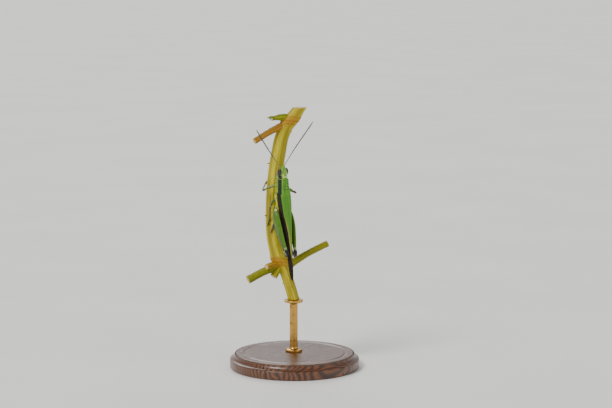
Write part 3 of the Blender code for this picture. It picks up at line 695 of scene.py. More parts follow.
# The stem: its radius carries four low ribs, folds, and scars round each joint, and both ends
# are bevelled and cut flat.
def mainStem():
    low, high, rows = stem["low"], stem["high"], stem["rows"]
    bevel = [0.10, 0.42, 0.74, 0.93]
    height = np.concatenate([
        np.full(4, low), [low + 0.03], np.linspace(low + 0.12, high - 0.12, rows), [high - 0.03],
        np.full(4, high)])[:, None]
    shrink = np.concatenate([bevel, [0.985], np.ones(rows), [0.985], bevel[::-1]])[:, None]
    around = turnsOf(stem["cols"])
    wave = np.cos(4 * around + 0.06 * height)
    closeness = sum(bell(height - joint, 1.5) for joint in stem["joints"])
    scars = sum(bell(height - joint - 0.35 * np.sin(2 * around) - step, 0.16)
                for joint in stem["joints"] for step in (-1.15, -0.1, 0.95))
    folds = barkFolds(around, height) * (0.035 + 0.05 * closeness)
    radius = (stemRadius(height) * (1 + 0.035 * wave) + folds + 0.10 * scars) * shrink
    points = stemCentre(height) + placed(np.cos(around), np.sin(around), 0) * radius[..., None]
    return gridShell(points, {
        "joint": held(closeness), "cap": 1 - shrink, "scar": held(scars), "ridge": held(wave) ** 8,
        "furrow": held(-wave) ** 2, **grainOf(around, height, radius)})


# a direction from its heading and its rise, in degrees
def wayTo(heading, rise):
    turn, lift = math.radians(heading), math.radians(rise)
    return np.array([math.cos(turn) * math.cos(lift), math.sin(turn) * math.cos(lift),
                     math.sin(lift)])


# a twig: a tapering limb with fine waves round it and a raised ring at each pitch
def oneTwig(height, heading, rise, length, radius, endRadius, green, rust):
    reach = wayTo(heading, rise)
    span = stem["radius"] + length
    start = stemCentre(height) + reach * 0.6
    tip = start + reach * span
    seed = rng.uniform(0, 6)

    def relief(share, around):
        return (0.03 * np.sin(7 * around + 3 * share * span + seed)
                + 0.02 * np.sin(13 * around - 2 * share * span)
                + 0.05 * bell((share * span) % stem["ringPitch"] - 2.0, 0.14))

    def marks(share, turn):
        return {"green": green, "rust": rust, **grainOf(turn, share * span, radius, 3 * seed)}

    sizes = [(0.0, radius * 1.3), (0.22, radius * 1.12), (0.4, radius), (1.0, endRadius)]
    return limb([start, (start + tip) / 2 + [0, 0, 0.35], tip], sizes, 44, int(18 + 8 * span),
                (0, 0, 1), 0.10, relief, marks)


# three pointed scales folded round the end of the young shoot
def budScales():
    height, heading, rise, length = twigs[1][:4]
    reach = wayTo(heading, rise)
    across = unit(np.cross(reach, [0, 0, 1.0]))
    over = np.cross(across, reach)
    tip = stemCentre(height) + reach * (stem["radius"] + length + 0.3)

    def scale(spin, long):
        off = across * math.cos(spin) + over * math.sin(spin)
        route = [tip + reach * forward + off * outward
                 for forward, outward in ((-0.9, 0.25), (0.5 * long, 0.55), (long, 0.15))]
        return limb(route, [(0, 0.42, 0.2), (0.45, 0.5, 0.14), (1, 0.1, 0.08)], 20, 22,
                    np.cross(reach, off),
                    marks=lambda s, t: {"green": 1, **grainOf(t, s * long, 0.5, 3 * spin)})

    return joined(*[scale(spin, long) for spin, long in ((0.4, 2.1), (2.5, 1.7), (4.6, 1.4))])


# prickles: cones from just under the bark, leaning down
def thorns():
    height, turn, length = np.array(prickles).T
    turn = np.radians(turn)
    way = placed(np.cos(turn), np.sin(turn), 0)
    root = stemCentre(height) + way * (stemRadius(height) - 0.12)[:, None]
    lean = np.array([0, 0, -0.28]) * length[:, None]
    return spikes(root, way + [0, 0, 0.12], length * 1.15, 0.30 * length ** 0.5, 12, lean, "thorn")


# the place in the bark's pattern, drawn out along the stem
def barkPlace(tree, stretch):
    place = addNode(tree, "CombineXYZ", {axis: markOf(tree, "grain" + axis) for axis in "XYZ"})
    return objectPlace(tree, (1, 1, stretch), place.outputs["Vector"])


def barkFinish():
    material, tree, shader = newMaterial("strawBark", 0.6, specular=0.3)
    cap = markOf(tree, "cap")
    streak = noiseOf(tree, barkPlace(tree, 0.03), 2.6, 4.0)
    broad = noiseOf(tree, barkPlace(tree, 0.10), 0.75, 4.0)
    fibre = noiseOf(tree, barkPlace(tree, 0.025), 8.0)
    freckle = cellsOf(tree, barkPlace(tree, 0.45), 0.9)
    straw = layered(
        tree, toned(tree, streak, 0.35, 0.65, "a08f0c", "d2c21e"),
        (eased(tree, broad, 0.45, 0.72, 0.0, 0.75), 1, "7f6a08"), ("furrow", 0.4, "6c7408"),
        ("ridge", 0.6, "e2d64a"), (eased(tree, fibre, 0.42, 0.66, 0.0, 0.5), 1, "8a7608"))
    leafy = blended(tree, eased(tree, fibre, 0.42, 0.66, 0.0, 0.4),
                    toned(tree, streak, 0.3, 0.7, "566c04", "828a06"), "465804")
    rusty = toned(tree, streak, 0.3, 0.7, "784a08", "a86e16")
    knotty = times(tree, markOf(tree, "joint"), eased(tree, broad, 0.3, 0.6, 0.35, 1.0))
    dots = times(tree, eased(tree, freckle, 0.10, 0.22, 1.0, 0.0),
                 eased(tree, noiseOf(tree, objectPlace(tree), 330.0), 0.5, 0.62))
    rings = maths(tree, "FRACT", times(tree, cap, 7.0))
    wood = blended(tree, eased(tree, rings, 0.1, 0.9, 0.0, 0.5), "cfb676", "a88c48")
    colour = layered(
        tree, straw, ("green", 0.85, leafy), ("rust", 0.85, rusty), (knotty, 1, "b27a08"),
        ("scar", 0.35, "5e3c06"), (dots, 0.75, "5c4010"),
        ("thorn", 1, ("tip", 0.3, 0.9, "9c6a20", "3f230c")),
        (eased(tree, cap, 0.015, 0.05), 1, toned(tree, cap, 0.80, 0.88, wood, "e2d2a0")))
    finish(tree, shader, colour, eased(tree, streak, 0.25, 0.75, 0.52, 0.7),
           plus(tree, streak, plus(tree, fibre, broad)), 0.00006)
    return material


def makePerch():
    shells = [mainStem(), *[oneTwig(*row) for row in twigs], budScales(), thorns()]
    makePiece("perchBark", joined(*shells), barkFinish(), "bark", "perch_stem", inBody=False,
              sharp=62)


makeStand()
print("stage: stand")
makePerch()
print("stage: perch")


# The head: slant-faced, with large eyes, thread-like feelers and a beak-like mouth.

headShape = {
    "knots": [      # station, half width, back, belly, boxiness, taper
        (0.00, 0.20, -1.14, -0.82, 2.2, 0.00), (0.35, 0.52, -1.27, -0.42, 2.3, 0.10),
        (0.85, 0.80, -1.36, 0.20, 2.5, 0.25), (1.45, 1.02, -1.43, 1.02, 2.6, 0.38),
        (2.05, 1.22, -1.48, 1.84, 2.7, 0.42), (2.65, 1.32, -1.52, 2.66, 2.8, 0.45),
        (3.15, 1.38, -1.54, 3.16, 2.8, 0.45), (3.65, 1.40, -1.54, 3.28, 2.7, 0.42),
        (4.05, 1.34, -1.48, 2.85, 2.6, 0.35)],
    "rings": (0.0, 4.05, 150, 184, (1.2, -1.48, 1.84, 2.7, 0.42), 0.12, 0.12, 2.0),
    "mouthPoint": (0.0, 2.05, -3.2), "mouthSlope": (0.0, 0.9707, 0.2402),
}
eyeShape = {"centre": (1.20, -0.20, 2.10), "radii": (0.64, 0.92, 1.36), "slope": math.radians(28)}
feelerShape = {"root": (0.47, 0.20, 0.90), "reach": (9.9, -3.7, 13.2), "rings": 23,
               "thickness": [(0, 0.19, 0.19), (0.12, 0.145, 0.145), (0.45, 0.16, 0.155),
                             (0.8, 0.18, 0.175), (0.95, 0.15, 0.15), (1, 0.09, 0.09)]}


# Rings across the body: superellipses from back to belly, narrowing towards the belly.
def bodyRings(shape, turn):
    halfWidth, back, belly, boxy, taper = [shape[:, k:k + 1] for k in range(5)]
    s, c = np.sin(turn)[None], np.cos(turn)[None]
    across = np.sign(s) * np.abs(s) ** (2 / boxy)
    down = -np.sign(c) * np.abs(c) ** (2 / boxy)
    x = halfWidth * across * (1 - taper * (down + 1) / 2)
    return x, (back + belly) / 2 + (belly - back) / 2 * down


# turns spread evenly along one ring's outline, and closer together by the back's mid line
def evenTurns(shape, cols, closer=0.0):
    turn = np.linspace(0, fullTurn, 4001)
    x, y = [row[0] for row in bodyRings(np.array([shape]), turn)]
    step = np.hypot(np.diff(x), np.diff(y)) * (1 + closer * bell((x[1:] + x[:-1]) / 2, 0.2))
    total = summed(step)
    return np.interp(np.arange(cols) / cols * total[-1], total, turn)


# Body rings from the first place to the last: a few extra rows within the lip at both ends are
# drawn in towards their own middle by up to the inset, so that a rim is round, not pinched.
# Gives each point's place, how full its row is, x and y, then the rows' shapes and the turns.
def ringsOf(knots, first, last, rows, cols, typical, lip, inset, closer=0.0):
    bend = np.radians([86, 70, 50, 30, 12])
    at = np.concatenate([first + lip * (1 - np.sin(bend)), np.linspace(first + lip, last - lip, rows),
                         (last - lip * (1 - np.sin(bend)))[::-1]])
    shrink = np.concatenate([np.cos(bend), np.ones(rows), np.cos(bend[::-1])])[:, None]
    shape, turn = valueOn(knots, at), evenTurns(typical, cols, closer)
    x, y = bodyRings(shape, turn)
    middle = (y.max(axis=1, keepdims=True) + y.min(axis=1, keepdims=True)) / 2
    reach = np.hypot(x, y - middle) + 1e-9
    keep = np.maximum(1 - inset * (1 - shrink) / reach, 0.02)
    return at[:, None] + 0 * x, shrink, x * keep, middle + (y - middle) * keep, shape, turn


# how far a point stands from the eye's middle, in eye radii
def eyeReach(x, y, z):
    cx, cy, station = eyeShape["centre"]
    c, s = math.cos(eyeShape["slope"]), math.sin(eyeShape["slope"])
    dy, dz = y - cy, z + station
    local = placed(np.abs(x) - cx, c * dy + s * dz, -s * dy + c * dz)
    return np.linalg.norm(local / np.array(eyeShape["radii"]), axis=-1)


# Head surface: superellipse rings, raised or sunk by bells about each keel, furrow and rim.
def headGrid():
    s, shrink, x, y, shape = ringsOf(headShape["knots"], *headShape["rings"])[:5]
    points = placed(x, y, -s)
    normal = gridNormals(points)
    onBack, onFace = fadeIn(-normal[..., 1], 0.3, 0.8), fadeIn(normal[..., 1], 0.25, 0.6)
    across, wide, reach = np.abs(x), shape[:, :1], eyeReach(x, y, -s)
    rx, ry, rs = feelerShape["root"]
    pit = np.sqrt((across - rx) ** 2 + (y - ry) ** 2 + (s - rs) ** 2)
    cheek = (y - 0.95) - 0.9 * (s - 3.05)
    height = (
        0.05 * bell(x, 0.05) * onBack * between(s, 0.3, 3.9, 0.3)
        + 0.07 * bell(across - 0.66 * wide, 0.07) * onBack * between(s, 0.15, 1.5, 0.15)
        - 0.05 * bell(across - 0.33 * wide, 0.16) * onBack * between(s, 0.25, 1.3, 0.15)
        + 0.07 * bell(across - (0.20 + 0.07 * s), 0.055) * onFace * between(s, 0.45, 2.15, 0.15)
        - 0.05 * bell(x, 0.13) * onFace * between(s, 0.6, 2.1, 0.2)
        + 0.06 * bell(across - 0.42 * wide - 0.13 * s, 0.07) * onFace * between(s, 1.2, 3.4, 0.3)
        + 0.09 * bell(reach - 1.12, 0.075) - 0.07 * bell(reach - 1.27, 0.06)
        + (0.07 * bell(pit - 0.36, 0.06) - 0.22 * bell(pit, 0.24))
        - 0.05 * bell(cheek, 0.07) * fadeIn(across, 0.7, 1.0) * between(y, 0.7, 2.2, 0.2)
        - 0.05 * bell(s - 3.62, 0.09))
    side = fadeIn(across, 0.55 * wide, 0.85 * wide)
    # the pale U behind the eyes is a painted highlight on the bulging back of the head: two arms and a
    # collar joining them
    highlightArms = (onBack * between(s, 2.35 + 0.5 * np.abs(across - 0.6), 3.75, 0.28)
            * bell(across - 0.60, 0.22))
    collar = onBack * bell(s - 3.46, 0.26) * (1 - fadeIn(across, 0.62, 0.95))
    return raised(points, normal, height, shrink, 0.2), {
        "band": between(y, -1.12, 0.70, 0.10) * side * fadeIn(s, 2.9, 3.1),
        "pale": fadeIn(np.maximum(highlightArms, collar), 0.25, 0.75),
        "rim": held(1.3 * bell(reach - 1.12, 0.09)), "face": onFace * fadeIn(s, 0.4, 1.2),
        "keel": held(height * 12), "furrow": held(-height * 12), "cheek": fadeIn(y, 0.5, 1.0) * side,
    }


# points beyond a plane are drawn back onto it along straight lines to an inner point, which
# leaves a closed flat cut inside the outline
def keptBehind(points, origin, outward, inner):
    outward = unit(outward)
    reach, room = (points - inner) @ outward, (np.array(origin) - inner) @ outward
    keep = np.where(reach > room, room / np.maximum(reach, 1e-6), 1.0)
    return inner + (points - inner) * keep[..., None]


# the three small eyes on the brow
def simpleEyes():
    places = [((0.0, 0.47, 1.02), (0.13, 0.10, 0.13)), ((0.60, -0.52, 0.66), (0.09, 0.10, 0.11)),
              ((-0.60, -0.52, 0.66), (0.09, 0.10, 0.11))]
    return joined(*[egg(*place, rows=14, cols=20, marks={"ocellus": 1}) for place in places])


sideBand = ragged("band", 2600.0, 0.9, 0.38, 0.62)
headHorn = hornMaterial(
    "headHorn", 0.38, 0.25, (700.0, 3.0, 1), clouds("5a9412", "7ead22"),
    ("face", 0.7, clouds("7d931f", "9ba82c")), ("cheek", 0.6, "9fb01e"), ("keel", 0.4, "b2cf62"),
    # pale: the painted highlight of the U behind the eyes, pale yellow-green with a ragged edge
    (ragged("pale", 1900.0, 1.6, 0.2, 0.8, 0.88), 1, "c6ea62"), ("rim", 0.8, "bccf5e"),
    ("furrow", 0.5, "46601b"), (sideBand, 1, "0d0d06"), ("ocellus", 1, "d8b95a"),
    mottle=0.45, pits=7000.0, gloss=0.36)
mouthHorn = hornMaterial(
    "mouthHorn", 0.4, 0.25, (900.0, 3.0, 1), clouds("7f8a34", "a3a64a"), ("furrow", 1, "3a3a14"),
    ("jaw", 0.8, "6b5a28"), pits=8000.0, gloss=0.38)


# Compound eye: a hexagon-like cell raised on each facet, nearly black with a brown sheen.
def eyeFinish():
    material, tree, shader = newMaterial("eyeGlass", 0.12, coat=0.45)
    shader.inputs["Coat Roughness"].default_value = 0.05
    dome = eased(tree, cellsOf(tree, objectPlace(tree), 17000.0, 0.25), 0.0, 0.6, 1.0, 0.0)
    cloud = noiseOf(tree, objectPlace(tree, (1.0, 1.0, 0.35)), 1500.0, 2.0)
    colour = layered(tree, toned(tree, cloud, 0.35, 0.7, "0a0706", "1c120c"), (dome, 0.2, "2b1f17"))
    finish(tree, shader, colour, eased(tree, dome, 0.0, 1.0, 0.22, 0.12), dome, 0.000008, 0.6)
    return material


# Feeler: a knob at the root, a short second ring, then many rings pinched at every joint.
def oneFeeler(side):
    x, y, station = feelerShape["root"]
    out, down, forward = feelerShape["reach"]
    route = [(side * (x + out * (part - spread)), y + down * part + rise, -station + forward * part)
             for part, rise, spread in ((0.0, 0.0, 0.0), (0.08, 0.05, 0.01), (0.4, 0.3, 0.012),
                                        (0.75, 0.2, 0.0), (1.0, 0.0, 0.0))]

    # how far a place stands from the nearest joint, in rings
    def offJoint(share):
        part = (share - 0.05) / 0.95 * feelerShape["rings"]
        return part - np.round(part)

    def relief(share, turn):
        pinch = bell(offJoint(share), 0.11) * fadeIn(share, 0.04, 0.06)
        return 0.07 * bell(share - 0.016, 0.014) + 0.03 * bell(share - 0.042, 0.009) - 0.022 * pinch

    return limb(route, feelerShape["thickness"], 18, 520, relief=relief,
                marks=lambda share, turn: {"joint": bell(offJoint(share), 0.12)})


# green at the root, then brown, along the feeler
def feelerTone(tree):
    return rampOf(tree, markOf(tree, "share"), [(0.03, "93a24a"), (0.24, "5a5a2c"),
                                                (0.42, "1b1710"), (0.97, "2d241a")])


feelerHorn = hornMaterial("feelerHorn", 0.42, 0.15, None, feelerTone, ("joint", 0.45, "6f6a45"),
                          mottle=0.4, pits=16000.0, gloss=0.42, depth=0.000005)


# four short jointed palps tucked under the mouth
def palps():
    made = []
    for side in (-1, 1):
        for x, drop, reach in ((0.62, 0.0, 0.9), (0.34, 0.25, 0.7)):
            root = np.array([side * x, 2.62 + drop, -3.70])
            elbow = root + [side * 0.10, 0.35 * reach, 0.10]
            tip = elbow + [-side * 0.12, 0.30 * reach, 0.42 * reach]
            bulges = [(0, 0.09), (0.45, 0.10), (0.52, 0.075), (0.9, 0.10), (1, 0.07)]
            made.append(limb([root, elbow, tip], bulges, 14, 26))
    return joined(*made)


# The mouth is the head's own surface beyond the same cut, grooved between its lips and jaws.
def mouthShell(points):
    slope = np.array(headShape["mouthSlope"])
    x, y, s = points[..., 0], points[..., 1], -points[..., 2]
    normal = gridNormals(points)
    facing, wide = normal[..., 1], np.abs(x)
    groove = held(bell((y + 0.25 * s) - 3.02, 0.05) * fadeIn(facing, 0.1, 0.4)
                  + bell(wide - 0.50, 0.045) * fadeIn(facing, 0.1, 0.5)
                  + bell(x, 0.03) * fadeIn(s, 2.9, 3.3) * fadeIn(facing, 0.2, 0.6))
    swollen = 0.06 * bell(wide - 0.26, 0.16) + 0.08 * bell(wide - 0.74, 0.14)
    mouth = keptBehind(points + normal * (swollen - 0.11 * groove)[..., None],
                       np.array(headShape["mouthPoint"]) + slope * 0.03, -slope, (0, 2.6, -3.4))
    return gridShell(mouth, {"furrow": groove, "jaw": fadeIn(wide, 0.5, 0.62) * fadeIn(s, 2.7, 3.1)})


def makeHead():
    points, marks = headGrid()
    face = gridShell(keptBehind(points, headShape["mouthPoint"], headShape["mouthSlope"],
                                (0, 0.3, -3.0)), marks)
    makePiece("headCapsule", joined(face, simpleEyes()), headHorn, "head", "head")
    makePiece("mouthParts", joined(mouthShell(points), palps()), mouthHorn, "mouthparts",
              "mouthparts")
    eyes = eyeFinish()
    x, y, station = eyeShape["centre"]
    for side, name in bothSides:
        eye = egg((side * x, y, station), eyeShape["radii"], eyeShape["slope"], 56, 72)
        makePiece("compoundEye" + name, eye, eyes, "eye", "eye_" + name)
        makePiece("feeler" + name, oneFeeler(side), feelerHorn, "antenna", "antenna_" + name)


makeHead()
print("stage: head, eyes and feelers")


# The saddle behind the head, the first breast plate, the winged flanks and the hind body.

trunk = {
    "lobe": 2.08, "front": 4.12, "rear": 9.35, "backLine": -1.65, "sweep": 0.30, "slant": 0.30,
    "end": 14.45,
    "prothorax": [      # part of the length, half width, back, belly, boxiness, taper
        (0.00, 1.52, -1.58, 2.40, 3.0, 0.10), (0.10, 1.58, -1.63, 2.66, 3.1, 0.10),
        (0.30, 1.66, -1.62, 2.76, 3.1, 0.10), (0.42, 1.66, -1.58, 2.78, 3.1, 0.10),
        (0.52, 1.72, -1.62, 2.80, 3.2, 0.10), (0.75, 1.86, -1.66, 2.82, 3.3, 0.08),
        (1.00, 1.94, -1.68, 2.82, 3.3, 0.06)],
    "saddleRings": (0.0, 1.0, 150, 200, (1.7, -1.62, 2.76, 3.1, 0.1), 0.012, 0.06, 2.2),
    "neck": (1.28, -1.38, 2.55, 2.7, 0.30),
    "thorax": [
        (0.00, 1.90, -1.00, 2.92, 2.9, 0.12), (0.20, 2.26, -1.00, 3.16, 2.9, 0.12),
        (0.45, 2.22, -1.00, 3.12, 2.9, 0.14), (0.68, 1.88, -1.00, 3.14, 2.8, 0.14),
        (1.00, 1.66, -0.96, 2.86, 2.7, 0.15)],
    "thoraxRings": (0.0, 1.0, 130, 190, (1.9, -1.0, 3.1, 2.9, 0.12), 0.012, 0.06),
    "abdomen": [        # station first
        (14.40, 1.58, -0.80, 2.80, 2.5, 0.18), (16.5, 1.52, -0.74, 2.68, 2.4, 0.18),
        (19.0, 1.38, -0.64, 2.48, 2.4, 0.18), (21.5, 1.20, -0.50, 2.26, 2.3, 0.18),
        (24.0, 0.98, -0.20, 2.04, 2.3, 0.18), (26.0, 0.78, 0.10, 1.84, 2.2, 0.15),
        (27.3, 0.58, 0.42, 1.62, 2.2, 0.10), (28.2, 0.26, 0.62, 1.22, 2.0, 0.00)],
    "abdomenRings": (14.40, 28.2, 330, 120, (1.4, -0.6, 2.5, 2.4, 0.18), 0.10, 0.10),
    "joints": [14.3, 16.0, 17.9, 19.8, 21.6, 23.3, 24.8, 26.1, 27.2, 28.3],
}
wingShape = {
    "knots": [          # station, half width, top, lower edge, filled
        (9.3, 1.88, -1.58, 1.00, 0.0), (11.5, 1.90, -1.60, 1.22, 0.0),
        (14.0, 1.76, -1.60, 1.18, 0.0), (17.0, 1.50, -1.56, 0.95, 0.0),
        (20.0, 1.24, -1.50, 0.68, 0.0), (22.5, 1.04, -1.44, 0.42, 0.1),
        (25.0, 0.86, -1.38, 0.16, 1.0), (28.0, 0.70, -1.30, -0.12, 1.0),
        (31.0, 0.60, -1.24, -0.26, 1.0), (33.5, 0.48, -1.18, -0.40, 1.0),
        (34.7, 0.34, -1.11, -0.54, 1.0), (35.25, 0.20, -1.02, -0.66, 1.0),
        (35.5, 0.05, -0.90, -0.80, 1.0)],
    "tip": 35.5, "thickness": 0.5, "rows": 300, "outer": 96, "inner": 40, "lap": 60, "midGap": 0.02,
    # half width of the green back field at each station, right wing and left wing
    "green": [(9.0, 1.80), (11.5, 1.72), (13.5, 1.55), (15.0, 1.40), (16.5, 1.25), (18.5, 1.02),
              (20.5, 0.80), (23.0, 0.60), (25.5, 0.42), (28.0, 0.26), (30.0, 0.14), (31.5, 0.02),
              (36.0, -0.2)],
    "greenLeft": [(9.0, 1.80), (11.5, 1.72), (13.5, 1.54), (15.0, 1.36), (16.5, 1.08), (18.5, 0.74),
                  (20.5, 0.46), (23.0, 0.27), (25.5, 0.09), (28.0, -0.05), (36.0, -0.3)],
}
hips = {"fore": ((1.20, 2.88, 6.20), 0.52), "middle": ((1.38, 3.06, 10.30), 0.55),
        "hind": ((1.78, 2.62, 12.90), 0.72)}


# station of the saddle's hind edge, an open angle pointing back over the wings
def hindMargin(x, y):
    return (trunk["rear"] - trunk["sweep"] * np.abs(x)
            - trunk["slant"] * (y - trunk["backLine"]))


# Saddle: rings from a straight front edge to the swept hind edge.  Keels are raised along the
# back, three cross furrows are sunk, and both edges carry a bead.
def saddleGrid():
    part, shrink, x, y, _, turn = ringsOf(trunk["prothorax"], *trunk["saddleRings"])
    station = trunk["front"] + part * (hindMargin(x, y) - trunk["front"])
    points = placed(x, y, -station)
    normal = gridNormals(points)
    onBack, across = fadeIn(-normal[..., 1], 0.35, 0.8), np.abs(x)
    keelAt = 1.12 + 0.22 * bell(part - 1.0, 0.5) - 0.10 * bell(part - 0.42, 0.22)
    sideKeel = bell(across - keelAt, 0.06) * fadeIn(-y, 0.7, 1.1)
    furrows = (bell(part - 0.27, 0.014) * between(across, 0.25, 1.75, 0.1)
               + bell(part - 0.43 - 0.02 * across, 0.014)
               + bell(part - 0.62 + 0.015 * across, 0.017)) * (1 - fadeIn(y, 1.0, 1.7))
    height = (0.13 * bell(x, 0.07) * onBack * (1 - 0.7 * bell(part - 0.62, 0.02)) + 0.07 * sideKeel
              - 0.075 * furrows + (0.05 * bell(part - 0.985, 0.012) + 0.05 * bell(part - 0.02, 0.014))
              + 0.05 * bell(y - (trunk["lobe"] - 0.10), 0.08)
              - 0.05 * bell(y - (trunk["lobe"] - 0.26), 0.07))
    rough = fadeIn(part, 0.60, 0.66) * 0.018 * np.sin(9 * station) * np.sin(23 * turn)
    return raised(points, normal, height + rough, shrink), {
        "band": between(y, -1.20 + 0.12 * bell(part - 0.5, 0.3), 0.46, 0.07)
                * fadeIn(across, 0.9, 1.2),
        # keel: the crests of the middle and side keels, painted lighter as a painted highlight
        "keel": held(bell(x, 0.06) * onBack * 0.8 + 1.4 * sideKeel),
        "furrow": held(furrows), "lobe": fadeIn(y, 0.4, 0.7),
        "edge": held(bell(part - 0.99, 0.02) + bell(y - trunk["lobe"] + 0.04, 0.10)),
    }


# soft neck between head and saddle: a short ring a little narrower than both
def neck():
    s = np.linspace(3.85, 4.4, 16)[:, None]
    x, y = bodyRings(np.array([trunk["neck"]]), evenTurns(trunk["neck"], 96))
    crease = 1 - 0.03 * np.cos(s * 22)
    return gridShell(placed(x * crease, y * crease, -s))


# the short thick first joint of a leg, an egg sunk in the body beside its socket
def hip(side, which):
    (x, y, station), size = hips[which]
    inward = 0.32 if which != "hind" else 0.45
    return egg((side * (x - inward), y - 0.22, station - 0.08),
               (size * 1.05, size * 0.85, size * 1.15), math.radians(-12), 30, 40, {"coxa": 1})


saddleHorn = hornMaterial(
    "saddleHorn", 0.44, 0.1, (800.0, 4.0, 0.5), clouds("3c8208", "60a010"),
    ("lobe", 1, clouds("73900a", "a0ae18")), ("edge", 0.5, "a3c23a"), (sideBand, 1, "0c0b05"),
    # the keels' pale green is a painted highlight along their crests
    ("keel", 0.5, "9fc850"), ("furrow", 0.75, "2f4a12"),
    mottle=0.6, pits=6400.0, gloss=0.42, depth=0.000016, specular=0.35)
breastHorn = hornMaterial("breastHorn", 0.42, 0.18, (800.0, 4.0, 1), clouds("8f8f3a", "b5b15a"),
                          ("coxa", 1, "87873a"), pits=8000.0)
flankHorn = hornMaterial(
    "flankHorn", 0.42, 0.2, (800.0, 4.0, 1), clouds("75920c", "9dab18"),
    ("lemon", 1, clouds("c4c600", "dcdc04")), ("belly", 0.8, "aaa548"), ("furrow", 0.8, "2c3410"),
    ("coxa", 0.6, "98963c"), pits=6500.0, gloss=0.42, depth=0.00002)
abdomenHorn = hornMaterial(
    "abdomenHorn", 0.42, 0.2, (700.0, 4.0, 1), clouds("8a8f34", "aeae4e"), ("belly", 0.8, "c3bb72"),
    ("ringEdge", 0.75, "d2cd8a"), ("ringStart", 0.8, "4a3f1c"), ("furrow", 0.6, "4d4a20"),
    ("breath", 1, "201a0c"), pits=7000.0, depth=0.00002)


# The saddle is cut off level at its lobes; the breast plate is the same rings, a little smaller.
def makeSaddle():
    points, marks = saddleGrid()
    x, y, z = np.moveaxis(points, -1, 0)
    saddle = keptBehind(points, (0, trunk["lobe"], 0), (0, 1, 0), placed(0 * x, 0.6, z))
    makePiece("saddlePlate", gridShell(saddle, marks), saddleHorn, "pronotum", "pronotum")
    inside = placed(x * 0.955, np.where(y < 1.6, y * 0.9 + 0.16, y), 0.985 * (6.7 + z) - 6.7)
    shell = joined(gridShell(inside), neck(), *[hip(side, "fore") for side in (-1, 1)])
    makePiece("breastPlate", shell, breastHorn, "underside", "prosternum")


# half width and top of the space inside a folded wing
def wingInside(halfWidth, top, low):
    thickness = wingShape["thickness"]
    return np.maximum(halfWidth - thickness, 0.35 * halfWidth), np.minimum(top + thickness, low - 0.12)


# half width of the space under the folded wings at a height y, and its roof, by station
def roomUnderWings(station, y):
    halfWidth, top, low, filled = np.moveaxis(valueOn(wingShape["knots"], station), -1, 0)
    filled = np.clip(filled, 0, 0.999)
    inner, innerTop = wingInside(halfWidth, top, low)
    inner, innerTop, edge = inner - 0.10, innerTop + 0.10, low + 0.10
    shoulder = np.minimum(1.1, 0.55 * (edge - innerTop))
    level = (y - edge * filled) / (1 - filled)
    turn = np.arccos(held(1 - (level - innerTop) / shoulder) ** 1.25)
    room = np.where(level < innerTop + shoulder, inner * np.sin(turn) ** 0.8, inner)
    below = halfWidth - 0.16 + 2.2 * (y - edge)
    return np.where(y > edge - 0.02, below, room), innerTop * (1 - filled) + edge * filled


# draws a body's points in under the folded wings
def underWings(points, station):
    x, y, z = np.moveaxis(points, -1, 0)
    room, roof = roomUnderWings(station, y)
    return placed(np.sign(x) * np.minimum(np.abs(x), room), np.maximum(y, np.minimum(roof, 2.0)), z)


# Flanks: rings from the saddle's hind edge, with three slanting seams and sunk leg pockets.
def flankGrid():
    part, shrink, x, y = ringsOf(trunk["thorax"], *trunk["thoraxRings"])[:4]
    front = hindMargin(x, y) + 0.03
    s = front + part * (trunk["end"] - front)
    points = placed(x, y, -s)
    normal = gridNormals(points)
    side = fadeIn(np.abs(x), 1.2, 1.6)
    seams = held(sum(bell(s - start - lean * (y - 1.4), 0.055)
                     for start, lean in ((9.9, -0.32), (11.35, -0.30), (12.65, -0.34))) * side)
    pocket = between(y, 2.0, 2.7, 0.12) * side * sum(bell(s - at, 0.4) for at in (10.4, 12.9))
    low = fadeIn(y, 2.6, 2.9)
    sole = bell(s - 11.6, 0.06) * low + bell(np.abs(x) - 0.42, 0.06) * low
    height = -0.10 * seams - 0.10 * held(pocket) - 0.06 * sole + 0.05 * np.sin(2.1 * s + 1.0) * side
    points = underWings(raised(points, normal, height, shrink), s)
    y = points[..., 1]
    lemon = between(y, 0.7, 2.75, 0.2) * side * (between(s, 10.2, 13.6, 0.2)
                                                + 0.75 * between(s, 9.0, 10.2, 0.2))
    return points, {"furrow": held(seams + 0.6 * sole), "lemon": lemon, "belly": fadeIn(y, 2.4, 2.9)}


# Hind body: each ring of the abdomen swells back to its rear edge and steps in beneath it.
def abdomenGrid():
    s, shrink, x, y, shape = ringsOf(trunk["abdomen"], *trunk["abdomenRings"])[:5]
    points = placed(x, y, -s)
    joints = np.array(trunk["joints"])
    number = np.clip(np.searchsorted(joints, s) - 1, 0, len(joints) - 2)
    part = (s - joints[number]) / (joints[number + 1] - joints[number])
    step = 0.09 * (part - 0.5) - 0.10 * (fadeIn(part, 0.93, 1.0) + (1 - fadeIn(part, 0.0, 0.05)))
    back, belly = shape[:, 1:2], shape[:, 2:3]
    level = (y - (back + belly) / 2) / ((belly - back) / 2)
    fold = bell(level - 0.42, 0.06)
    breath = bell(part - 0.3, 0.05) * bell(level - 0.28, 0.05)
    height = step - 0.06 * fold - 0.05 * breath
    return underWings(raised(points, gridNormals(points), height, shrink), s), {
        "ringEdge": fadeIn(part, 0.80, 0.95), "ringStart": 1 - fadeIn(part, 0.0, 0.12),
        "furrow": held(fold), "breath": held(breath * 1.4), "belly": fadeIn(level, 0.42, 0.5)}


# the four short curved egg-laying hooks and the pair of tail feelers
def tailEnd():
    parts = []
    for side in (-1, 1):
        for y, bend in ((0.72, -0.12), (1.10, 0.12)):
            parts.append(limb([(side * 0.14, y, -27.8), (side * 0.17, y + bend * 0.2, -28.25),
                               (side * 0.12, y + bend * 2.2, -28.75)],
                              [(0, 0.15), (0.6, 0.12), (1, 0.04)], 16, 24))
        parts.append(limb([(side * 0.34, 0.62, -27.4), (side * 0.44, 0.58, -27.9)],
                          [(0, 0.10), (1, 0.05)], 14, 16))
    return joined(*parts)


